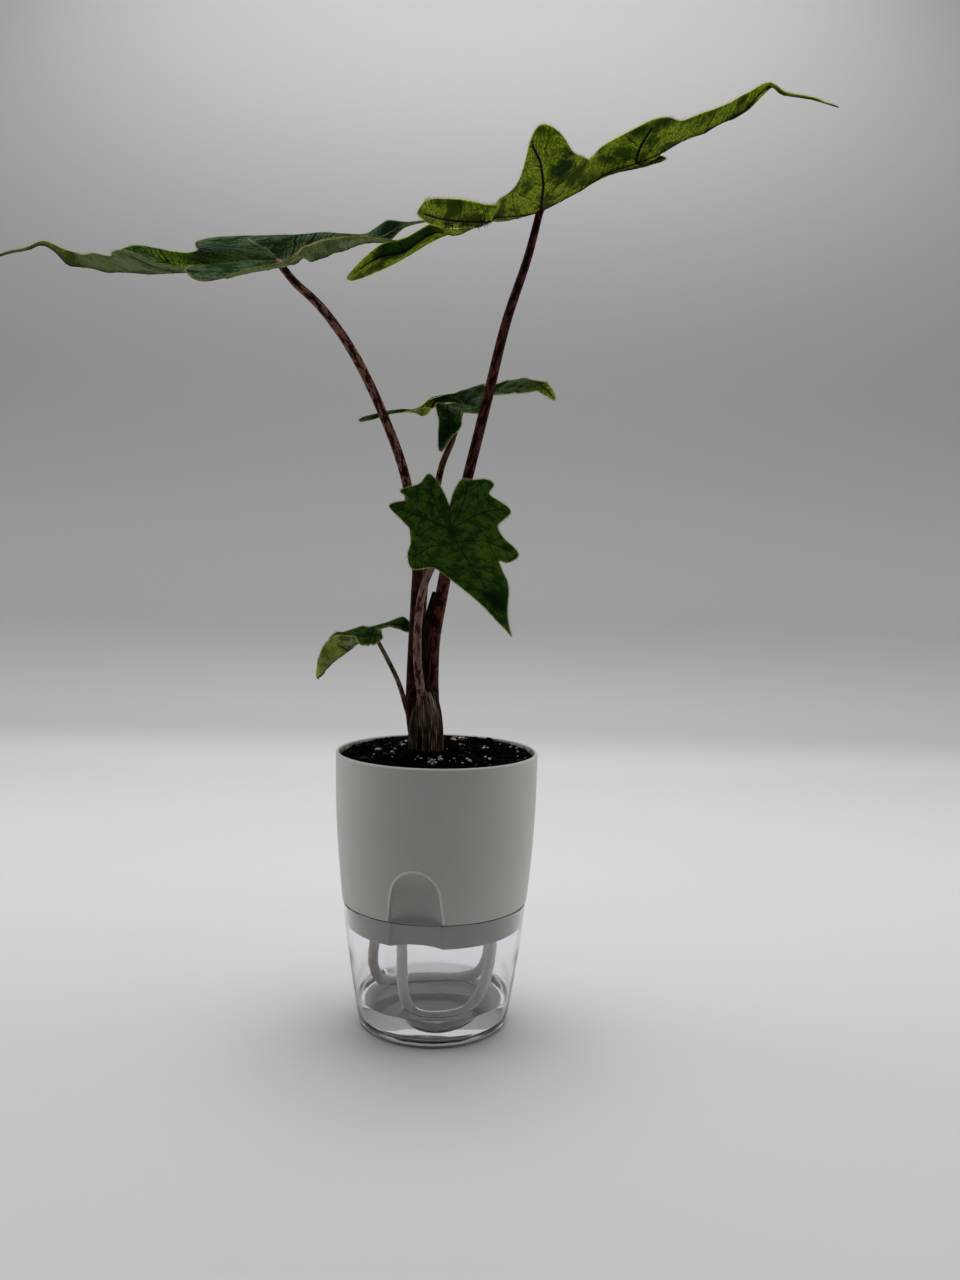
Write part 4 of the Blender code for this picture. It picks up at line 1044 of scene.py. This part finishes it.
MIDDLE_HOLD = [
    (0, 0, 10, 25, 317), (0, 0.28, 23, 45, 325), (0, 0.54, 39, 49, 329), (0, 0.8, 51, 63, 332),
    (0, 1, 60, 70, 325), (0.165, -0.53, -1, -2, 290, -42, 9, 305), (0.222, -0.42, 5, 0, 298),
    (0.185, -0.33, 9, 5, 303, -18, 17, 311), (0.115, -0.46, -2, 3, 295, -36, 9, 306),
    (0.075, -0.34, -2, 7, 306, -22, 11, 310), (0.035, -0.2, -3, 11, 315, -6, 16, 313),
    (0.145, -0.24, 9, 8, 309, -9, 19, 310), (0.12, -0.15, 11, 12, 311, 2, 19, 320),
    (0.308, 0.055, 19, 19, 314, 12, 43, 326), (0.115, 0.145, 24, 29, 321, 20, 39, 328),
    (0.15, 0.345, 30, 40, 324, 32, 57, 333), (0.03, 0.77, 48, 64, 329, 55, 65, 334),
    (0.014, 0.84, 53, 64, 327, 57, 63, 331), (-0.2, -0.36, -28, 16, 310),
    (-0.07, -0.2, -7, 16, 318), (0.135, 0.41, 35, 44, 325, 35, 60, 334),
    (-0.095, 0.46, 41, 58, 335), (-0.11, -0.33, -21, 13, 312), (-0.235, -0.055, 6, 32, 323),
    (-0.285, 0.105, 17, 44, 328), (0.215, -0.5, 2, -4, 293), (-0.135, -0.4, -30, 12, 310),
    (-0.222, -0.43, -35, 15, 309),
]
LOW_HOLD = [
    (0, 0, -33, 1, 199), (0, 0.14, -40, 1, 195), (0, 0.28, -45, 1, 191), (0, 0.42, -49, 1, 188),
    (0, 0.54, -53, 0, 185), (0, 0.67, -56, 0, 182), (0, 0.8, -59, 1, 178), (0, 0.9, -61, 5, 176),
    (0, 1, -62, 8, 174), (0.235, -0.055, -35, -13, 194, -37, 11, 201),
    (0.3, 0.055, -38, -16, 195, -41, 15, 201), (0.27, 0.11, -40, -14, 197, -44, 13, 200),
    (0.23, 0.15, -41, -11, 198, -47, 12, 199), (0.24, 0.32, -50, -10, 198, -53, 11, 198),
    (0.19, 0.5, -56, -7, 194, -56, 7, 195), (0.155, 0.6, -58, -6, 191, -57, 8, 191),
    (0.115, 0.7, -60, -4, 186, -59, 6, 186), (0.075, 0.8, -61, 0, 182, -60, 4, 182),
    (0.035, 0.91, -62, 4, 178, -62, 6, 177), (0.185, -0.33, -32, -12, 194, -22, 4, 206),
    (0.222, -0.42, -29, -16, 196, -18, 4, 207), (0.165, -0.53, -27, -16, 198, -14, 3, 200),
    (0.115, -0.46, -28, -12, 200, -17, 0, 200), (0.075, -0.34, -29, -8, 201, -22, -1, 202),
    (0.035, -0.2, -31, -3, 201, -28, 0, 202), (0.12, -0.15, -35, -4, 193, -30, 6, 203),
]
LEAVES = {
    "right": dict(half=GROWN_HALF, veins=GROWN_VEINS, length=190, step=1.05,
                  hold=RIGHT_HOLD),
    "left": dict(half=GROWN_HALF, veins=GROWN_VEINS, length=172, step=1.05,
                 hold=LEFT_HOLD),
    "front": dict(half=YOUNG_HALF, veins=YOUNG_VEINS, length=68, step=0.6,
                  hold=FRONT_HOLD),
    "middle": dict(half=GROWN_HALF, veins=GROWN_VEINS, length=92, step=0.75,
                   hold=MIDDLE_HOLD),
    "low": dict(half=SMALL_HALF, veins=GROWN_VEINS, length=56, step=0.6,
                hold=LOW_HOLD),
}
print("hold points:", {name: len(leaf["hold"]) for name, leaf in LEAVES.items()})


# %% From flat to space
def plate_spline(flat, held):
    """A smooth map from the flat leaf to space that passes through the held points."""
    def bend(square):
        return 0.5 * square * np.log(np.maximum(square, 1e-12))
    count = len(flat)
    square = ((flat[:, None] - flat[None]) ** 2).sum(-1)
    plane = np.hstack([np.ones((count, 1)), flat])
    matrix = np.zeros((count + 3, count + 3))
    matrix[:count, :count] = bend(square)
    matrix[:count, count:] = plane
    matrix[count:, :count] = plane.T
    target = np.zeros((count + 3, 3))
    target[:count] = held
    weights = np.linalg.solve(matrix, target)

    def place(points):
        square = ((points[:, None] - flat[None]) ** 2).sum(-1)
        plane = np.hstack([np.ones((len(points), 1)), points])
        return bend(square) @ weights[:count] + plane @ weights[count:]
    return place


def inside_many(polygon, spots):
    """Which flat spots lie inside a polygon."""
    found = np.zeros(len(spots), dtype=bool)
    for (x, y), (next_x, next_y) in zip(polygon, np.roll(polygon, -1, axis=0)):
        if y == next_y:
            continue
        crosses = (y > spots[:, 1]) != (next_y > spots[:, 1])
        where = x + (spots[:, 1] - y) / (next_y - y) * (next_x - x)
        found ^= crosses & (spots[:, 0] < where)
    return found


def line_distance(spots, line, closed=False):
    """Distance from flat spots to a line, and how far along it the nearest point is."""
    line = np.array(line, dtype=float)
    ends = np.roll(line, -1, axis=0) if closed else line[1:]
    starts = line if closed else line[:-1]
    nearest = np.full(len(spots), 1e9)
    run = np.zeros(len(spots))
    passed = 0.0
    for start, end in zip(starts, ends):
        step = end - start
        size = math.hypot(*step)
        share = np.clip(((spots - start) @ step) / (size * size), 0, 1)
        gap = np.hypot(*(spots - start - share[:, None] * step).T)
        better = gap < nearest
        nearest[better] = gap[better]
        run[better] = passed + share[better] * size
        passed += size
    return nearest, run


# %% Fill the flat leaf
def flat_leaf(leaf):
    """Cover the flat outline with small triangles."""
    spacing = leaf["step"] / leaf["length"]
    edge = smooth_line(leaf["half"], 12)
    run = run_along(edge)
    marks = np.linspace(0, run[-1], int(run[-1] / spacing) + 1)
    edge = np.column_stack([np.interp(marks, run, edge[:, k]) for k in (0, 1)])
    ring = np.concatenate([edge, edge[-2:0:-1] * (-1, 1)])
    low, high = ring.min(0), ring.max(0)
    rows = np.arange(low[1], high[1], spacing * 0.87)
    spots = []
    for index, y in enumerate(rows):
        xs = np.arange(low[0], high[0], spacing) + (0.5 * spacing if index % 2 else 0.0)
        spots.append(np.column_stack([xs, np.full(len(xs), y)]))
    spots = np.concatenate(spots)
    spots = spots[inside_many(ring, spots)]
    spots = spots[line_distance(spots, ring, True)[0] > 0.55 * spacing]
    points = [Vector(point) for point in np.concatenate([ring, spots])]
    borders = [(i, (i + 1) % len(ring)) for i in range(len(ring))]
    found = delaunay_2d_cdt(points, borders, [list(range(len(ring)))], 1, 1e-7)
    flat = np.array([tuple(point) for point in found[0]])
    return flat, [tuple(face) for face in found[2]], ring


# %% Veins on the flat leaf
VEIN_SPACING = {"right": 13.0, "left": 12.0, "front": 7.0, "middle": 8.0, "low": 6.0}
VEIN_LEAN = 0.75


def vein_fields(name, leaf, flat):
    """Millimetres to the main veins, and a count that rises by one from side vein to side vein."""
    folded = np.column_stack([np.abs(flat[:, 0]), flat[:, 1]])
    mains = [[leaf["half"][0], (0, 1)], *leaf["veins"]]
    gaps, runs = np.array([line_distance(folded, vein) for vein in mains]).transpose(1, 0, 2)
    nearest = np.argmin(gaps + np.array([[0.0], [0.0], [0.0], [0.012]]), axis=0)
    chosen = (nearest, np.arange(len(flat)))
    count = runs[chosen] - VEIN_LEAN * gaps[chosen] + 0.3 * gaps[chosen] ** 2
    return gaps.min(0) * leaf["length"], count * leaf["length"] / VEIN_SPACING[name]


# %% Painted light, and dark patches
# Each row is a place across and along the flat leaf, how far it reaches and how strong it is.
# Below zero the place is painted lighter: painted light for the glow at tips and flaps and for a
# valley that lies in shade. Above zero it gets a dark patch, some of which stand for the dark top
# of a margin that curls over.
PAINTED_LIGHT_AND_PATCHES = {
    "right": [(0.175, 0.085, 0.03, 1.1), (0.15, 0.075, 0.025, 0.9),
              (0.13, 0.33, 0.035, 0.8), (0.125, 0.41, 0.03, 0.7),
              (0.1, 0.22, 0.03, 0.9), (-0.1, -0.36, 0.04, 0.9), (0.02, 0.8, 0.05, 0.5),
              (0.235, 0.0, 0.06, -0.9), (0.18, 0.01, 0.04, -0.6), (0.17, -0.47, 0.05, -0.8),
              (0.06, 0.2, 0.04, -0.7), (0.05, 0.47, 0.04, -0.6), (0.04, 0.6, 0.04, -0.5),
              (-0.19, -0.5, 0.035, -0.4), (-0.12, -0.43, 0.045, 1.1)],
    "left": [(-0.06, 0.16, 0.08, -0.8), (-0.07, 0.34, 0.08, -0.8), (-0.17, -0.45, 0.06, 0.9),
             (0.04, 0.55, 0.05, -0.5)],
    "front": [(0.04, 0.68, 0.11, 1.0), (0.0, 1.0, 0.07, -1.8), (-0.15, 0.1, 0.12, -0.4),
              (0.16, 0.22, 0.12, -0.5), (0.0, 0.02, 0.07, 0.7), (0.22, -0.15, 0.08, 0.4)],
    "middle": [(0.0, 0.93, 0.12, -1.2), (0.0, 0.62, 0.14, -0.35), (-0.05, -0.24, 0.06, -0.8),
               (0.14, -0.42, 0.12, 1.0)],
    "low": [(0.0, 0.95, 0.22, -1.4), (0.02, 0.04, 0.12, 1.0), (0.08, 0.45, 0.15, -0.6)],
}


def painted_light_and_patch_field(name, flat):
    """Half a unit all over, more where a dark patch is painted and less where painted light is."""
    total = np.full(len(flat), 0.5)
    for across, along, reach, strength in PAINTED_LIGHT_AND_PATCHES[name]:
        away = ((flat - (across, along)) ** 2).sum(-1)
        total += 0.5 * strength * np.exp(-away / reach ** 2)
    return np.clip(total, 0, 1)


# %% Blade mesh
BLADE = 0.7
RIB, RIB_WIDTH = 1.4, 1.1
QUILT, FINE_QUILT = 0.4, 0.16
VEIN_SINK = 0.15
SIDE_RIB = 0.18
TINY = 0.002


def facing(place, flat):
    """Directions square to the leaf's surface at flat points."""
    across = place(flat + (TINY, 0)) - place(flat - (TINY, 0))
    along = place(flat + (0, TINY)) - place(flat - (0, TINY))
    return unit(np.cross(across, along))


def zigzag(count):
    """Nothing at each whole count, and one half-way between two."""
    return np.abs((count + 0.5) % 1.0 - 0.5) * 2


def blade_mesh(name, leaf):
    """A closed blade with a quilted top, and ribs under its veins."""
    flat, faces, ring = flat_leaf(leaf)
    hold = [row[:5] for row in leaf["hold"]]
    hold += [(-row[0], row[1], *row[5:]) for row in leaf["hold"] if len(row) > 5]
    place = plate_spline(*np.split(np.array(hold, dtype=float), [2], axis=1))
    centre, normal = place(flat), facing(place, flat)
    normal = normal * (-1.0 if normal[:, 2].sum() < 0 else 1.0)
    main, count = vein_fields(name, leaf, flat)
    margin = line_distance(flat, ring, True)[0] * leaf["length"]
    size = VEIN_SPACING[name] / VEIN_SPACING["right"]
    side, ripple = zigzag(count), zigzag(count * 4)
    inner = np.clip(margin / (3.0 * size), 0, 1)
    rise = np.sqrt(side) * np.clip(main / (4.0 * size), 0, 1) * inner
    quilt = QUILT * size * rise
    quilt += FINE_QUILT * size * np.sqrt(ripple) * inner * np.clip(main / 2, 0, 1)
    rib = (RIB - BLADE) * np.exp(-(main / RIB_WIDTH) ** 2) * np.clip(margin / 1.5, 0.2, 1)
    side_rib = SIDE_RIB * size * np.exp(-(side / 0.1) ** 2) * inner
    top = centre + normal * (quilt - VEIN_SINK * np.exp(-main ** 2))[:, None]
    bottom = centre - normal * (BLADE + rib + side_rib - quilt * 0.75)[:, None]
    a, b, c = top[list(faces[0])]
    if np.cross(b - a, c - a) @ normal[faces[0][0]] < 0:
        faces = [face[::-1] for face in faces]
    under = [tuple(index + len(flat) for index in face[::-1]) for face in faces]
    edges = dict.fromkeys((face[i], face[i - 2]) for face in faces for i in range(3))
    rim = [(b, a, a + len(flat), b + len(flat)) for a, b in edges if (b, a) not in edges]
    made = mesh_piece("leaf_" + name, np.concatenate([top, bottom]) * MM, faces + under + rim)
    for face in made.data.polygons[len(faces):]:
        face.material_index = 1
    # The last field carries the painted light and the dark patches.
    for label, values in (("main_vein", main), ("side_vein", count), ("margin", margin),
                          ("painted_light_and_patches", painted_light_and_patch_field(name, flat))):
        values_twice = np.tile(values, 2).astype(np.float32)
        made.data.attributes.new(label, "FLOAT", "POINT").data.foreach_set("value", values_twice)
    chart = made.data.uv_layers.new(name="flat")
    corners = np.zeros(len(made.data.loops), dtype=np.int32)
    made.data.loops.foreach_get("vertex_index", corners)
    chart.data.foreach_set("uv", flat[corners % len(flat)].astype(np.float32).ravel())
    made.data.shade_smooth()
    print(made.name, "faces:", len(made.data.polygons))
    border = place(ring)
    ahead = np.roll(border, -1, axis=0) - np.roll(border, 1, axis=0)
    return made, dict(top=top, bottom=bottom, normal=normal, border=border, place=place,
                      outward=unit(np.cross(ahead, facing(place, ring))))


# %% [markdown]
# ## Leaf finishes
# The tops are dark and dull, with sunken veins and a whitish down. Light from above
# comes through the blade, so the undersides glow yellow-green between the dark
# veins. Light inside the leaf makes that glow, so the finish lets light travel a
# millimetre or two under the skin.


# %% Leaf finish
def leaf_finish(name, pale, deep, vein, patch, light, glow=1.0, depth=0.003, gloss=0.03,
                rows=(4.0, 0.5), side_lines=(0.05, 0.8), rib=None, ribs=(0.12, 0.28),
                net=0.6, hem=0.0):
    """A leaf skin, with main veins, side veins, fine rows, a net, painted light and dark patches.
    """
    made = new_finish(name, roughness=0.7, Specular_IOR_Level=gloss, Subsurface_Weight=glow,
                      Subsurface_Radius=(0.9, 1.0, 0.3), Subsurface_Scale=depth)
    flat = add_node(made, "UVMap", uv_map="flat").outputs[0]
    drift = add_node(made, "TexNoise", {"Vector": flat, "Scale": 45.0, "Detail": 2.0}).outputs[1]
    moved = add_node(made, "VectorMath", {0: drift, 1: (0.02, 0.02, 0.0), 2: flat},
                     operation="MULTIPLY_ADD").outputs[0]
    cells, small = (add_node(made, "TexVoronoi", {"Vector": moved, "Scale": scale},
                             feature="DISTANCE_TO_EDGE").outputs["Distance"]
                    for scale in (80.0, 190.0))
    wobble = maths(made, "MULTIPLY_ADD", speckle(made, flat, 30.0), 0.3, -0.15)
    shaken = maths(made, "ADD", field(made, "side_vein"), wobble)
    side = maths(made, "PINGPONG", shaken, 0.5)
    fine = maths(made, "PINGPONG", maths(made, "MULTIPLY", shaken, rows[0]), 0.5)
    main = maths(made, "DIVIDE", field(made, "main_vein"), 4.0)
    painted_light_and_patches, margin = field(made, "painted_light_and_patches"), field(made, "margin")
    cloud = speckle(made, flat, 13.0, 5.0, (1, 1, 1), 0.6)
    body = ramp(made, cloud, [(0.42, deep), (0.57, pale)])
    # Painted light goes where the field of places is low, in the colour light; dark patches go
    # where it is high.
    for value, stops, colour in (
            (painted_light_and_patches, [(0.0, 0.95), (0.45, 0.0)], light),
            (fine, [(0.0, rows[1]), (0.25, 0.0)], deep),
            (cells, [(0.0, net), (0.12, 0.0)], deep),
            (small, [(0.0, net * 0.6), (0.14, 0.0)], deep),
            (painted_light_and_patches, [(0.55, 0.0), (0.9, 0.95)], patch),
            (side, [(0.0, side_lines[1]), (side_lines[0], 0.0)], vein),
            (margin, [(0.2, hem), (0.55, 0.0)], light),
            (main, [(ribs[0], 1.0), (ribs[1], 0.0)], rib or vein)):
        body = blend(made, ramp(made, value, stops), body, colour)
    into_shader(made, "Base Color", body)
    rise = maths(made, "ADD", maths(made, "MULTIPLY", cells, 2.0), fine)
    bumped(made, rise, 0.0005, 0.8)
    return made


PURPLE = (0.01, 0.003, 0.004)
INK = (0.004, 0.008, 0.005)
LEAF_GREEN = (0.01, 0.026, 0.007)
under_right = leaf_finish("under_right", (0.29, 0.37, 0.024), (0.028, 0.05, 0.004), PURPLE,
                           (0.006, 0.022, 0.004), (0.34, 0.42, 0.03), 1.0, 0.0025, 0.02,
                           (4.0, 0.4), (0.05, 0.8), ribs=(0.14, 0.28), net=0.85, hem=0.2)
top_right = leaf_finish("top_right", (0.06, 0.105, 0.02), (0.018, 0.038, 0.009), INK,
                        (0.008, 0.018, 0.009), (0.12, 0.18, 0.03), 0.6)
under_left = leaf_finish("under_left", (0.125, 0.155, 0.065), (0.05, 0.072, 0.026), PURPLE,
                         (0.02, 0.034, 0.012), (0.18, 0.22, 0.09), 1.0, 0.003, 0.03, (6.0, 0.3),
                         (0.05, 0.45), ribs=(0.12, 0.24), net=0.4)
top_left = leaf_finish("top_left", (0.06, 0.098, 0.05), (0.007, 0.016, 0.006), INK,
                       (0.004, 0.009, 0.005), (0.22, 0.31, 0.36), 0.9, 0.004, 0.0, (4.0, 0.95),
                       (0.12, 0.95), (0.085, 0.115, 0.07), (0.06, 0.16), 0.7)
top_front = leaf_finish("top_front", (0.08, 0.165, 0.018), (0.016, 0.05, 0.005), LEAF_GREEN,
                        (0.005, 0.015, 0.005), (0.18, 0.3, 0.02), 0.5, 0.0015, 0.01, (5.5, 0.95),
                        (0.08, 0.8), ribs=(0.03, 0.14), hem=0.5)
top_middle = leaf_finish("top_middle", (0.084, 0.126, 0.06), (0.01, 0.024, 0.008), INK,
                         (0.004, 0.012, 0.005), (0.48, 0.58, 0.05), 0.6, 0.003, 0.0, (4.0, 0.95),
                         (0.08, 0.8), ribs=(0.03, 0.12), net=0.8)
under_small = leaf_finish("under_small", (0.28, 0.31, 0.17), (0.075, 0.1, 0.035), PURPLE,
                          (0.03, 0.05, 0.018), (0.4, 0.46, 0.1), 1.0, 0.003, 0.04, (5.0, 0.3),
                          (0.06, 0.5), ribs=(0.07, 0.16), net=0.4)
top_low = leaf_finish("top_low", (0.05, 0.105, 0.015), (0.012, 0.036, 0.006), INK,
                      (0.005, 0.014, 0.005), (0.3, 0.34, 0.05), 0.5, 0.0015, 0.0, (4.0, 0.9),
                      (0.08, 0.8), ribs=(0.04, 0.14), hem=0.3)

LEAF_SKINS = {
    "right": (top_right, under_right), "left": (top_left, under_left),
    "front": (top_front, under_small), "middle": (top_middle, under_small),
    "low": (top_low, under_small),
}

# %% Blades
LEAF_SLOTS = {name: "leaf_dark_green" if name == "left" else "leaf_green" for name in LEAVES}
grown = {}
for leaf_name, leaf in LEAVES.items():
    blade, grown[leaf_name] = blade_mesh(leaf_name, leaf)
    fit(blade, LEAF_SLOTS[leaf_name], *LEAF_SKINS[leaf_name], node="blade_" + leaf_name)

# %% [markdown]
# ## Down on the leaves
# The leaves of this plant are felted with short hairs, which show as a pale fringe
# along the margins and as a bloom on the dark tops. Hair curves would be lost when
# the model is exported, so each hair is a closed three-sided spike in one mesh for
# each leaf. The draw of the hairs is seeded. The dark fibres that are caught under
# the right leaf are longer and thicker spikes of the same kind.


# %% Spikes
def spikes(name, roots, ways, lengths, thick):
    """Closed three-sided spikes in one mesh. Places and lengths are in millimetres."""
    ways = unit(ways)
    tips = roots + ways * lengths[:, None]
    inside = ((tips * MM > np.array(cad_low)) & (tips * MM < np.array(cad_high))).all(1)
    roots, ways, tips = roots[inside], ways[inside], tips[inside]
    side = unit(np.cross(ways, (0.31, 0.52, 0.79)))
    up = np.cross(ways, side)
    points = []
    for turn in (0, 2 * math.pi / 3, 4 * math.pi / 3):
        points.append(roots - ways * 0.1 + thick * (math.cos(turn) * side + math.sin(turn) * up))
    points = np.stack(points + [tips], axis=1).reshape(-1, 3) * MM
    faces = []
    for start in range(0, len(points), 4):
        faces += [(start + a, start + b, start + c)
                  for a, b, c in ((0, 1, 3), (1, 2, 3), (2, 0, 3), (2, 1, 0))]
    made = mesh_piece(name, points, faces)
    print(name, "spikes:", len(tips))
    return made


# %% Down
DOWN = {"right": (1000, 300, 1.0), "left": (1100, 200, 0.8), "front": (900, 200, 0.7),
        "middle": (500, 150, 0.8), "low": (350, 100, 0.6)}
HAIR = 0.06
FRINGE = 4
leaf_down = grainy_finish("leaf_down", 300, 2.0, [
    (0.3, (0.05, 0.085, 0.03)), (0.7, (0.22, 0.28, 0.14))], roughness=0.7,
    Specular_IOR_Level=0.03, Subsurface_Weight=0.4, Subsurface_Scale=0.0005)
chance = np.random.default_rng(7)
for leaf_name, (on_top, below, size) in DOWN.items():
    shape = grown[leaf_name]
    roots, ways, lengths = [], [], []
    for surface, count, sense in ((shape["top"], on_top, 1.0), (shape["bottom"], below, -1.0)):
        picked = chance.integers(0, len(surface), count)
        roots.append(surface[picked])
        ways.append(shape["normal"][picked] * sense + chance.normal(0, 0.35, (count, 3)))
        lengths.append(chance.uniform(0.35, 0.9, count) * size)
    for _ in range(FRINGE):
        count = len(shape["border"])
        roots.append(shape["border"] + chance.normal(0, 0.15, (count, 3)))
        ways.append(shape["outward"] + chance.normal(0, 0.4, (count, 3)))
        lengths.append(chance.uniform(0.7, 1.8, count) * size)
    down = spikes("down_" + leaf_name, np.concatenate(roots), np.concatenate(ways),
                  np.concatenate(lengths), HAIR)
    fit(down, LEAF_SLOTS[leaf_name], leaf_down)

# %% Caught fibres
FIBRE_SPOTS = [(0.085, -0.33), (0.095, -0.3), (0.1, -0.27), (0.085, -0.24), (0.07, -0.21),
               (0.08, -0.26), (0.0, 0.69), (0.005, 0.71), (0.01, 0.7), (0.11, -0.36)]
fibre_dark = grainy_finish("dark_fibre", 400, 2.0, [
    (0.3, (0.002, 0.002, 0.002)), (0.7, (0.012, 0.01, 0.008))], roughness=0.8,
    Specular_IOR_Level=0.1)
fibre_flat = np.repeat(np.array(FIBRE_SPOTS), 12, axis=0)
fibre_flat = fibre_flat + chance.normal(0, 0.006, fibre_flat.shape)
fibre_roots = grown["right"]["place"](fibre_flat) - (0, 0, BLADE)
fibre_ways = chance.normal(0, 0.7, fibre_roots.shape) + (0, -0.3, -0.8)
fibres = spikes("caught_fibres", fibre_roots, fibre_ways,
                chance.uniform(0.8, 3.2, len(fibre_roots)), 0.28)
fit(fibres, "potting_soil", fibre_dark)
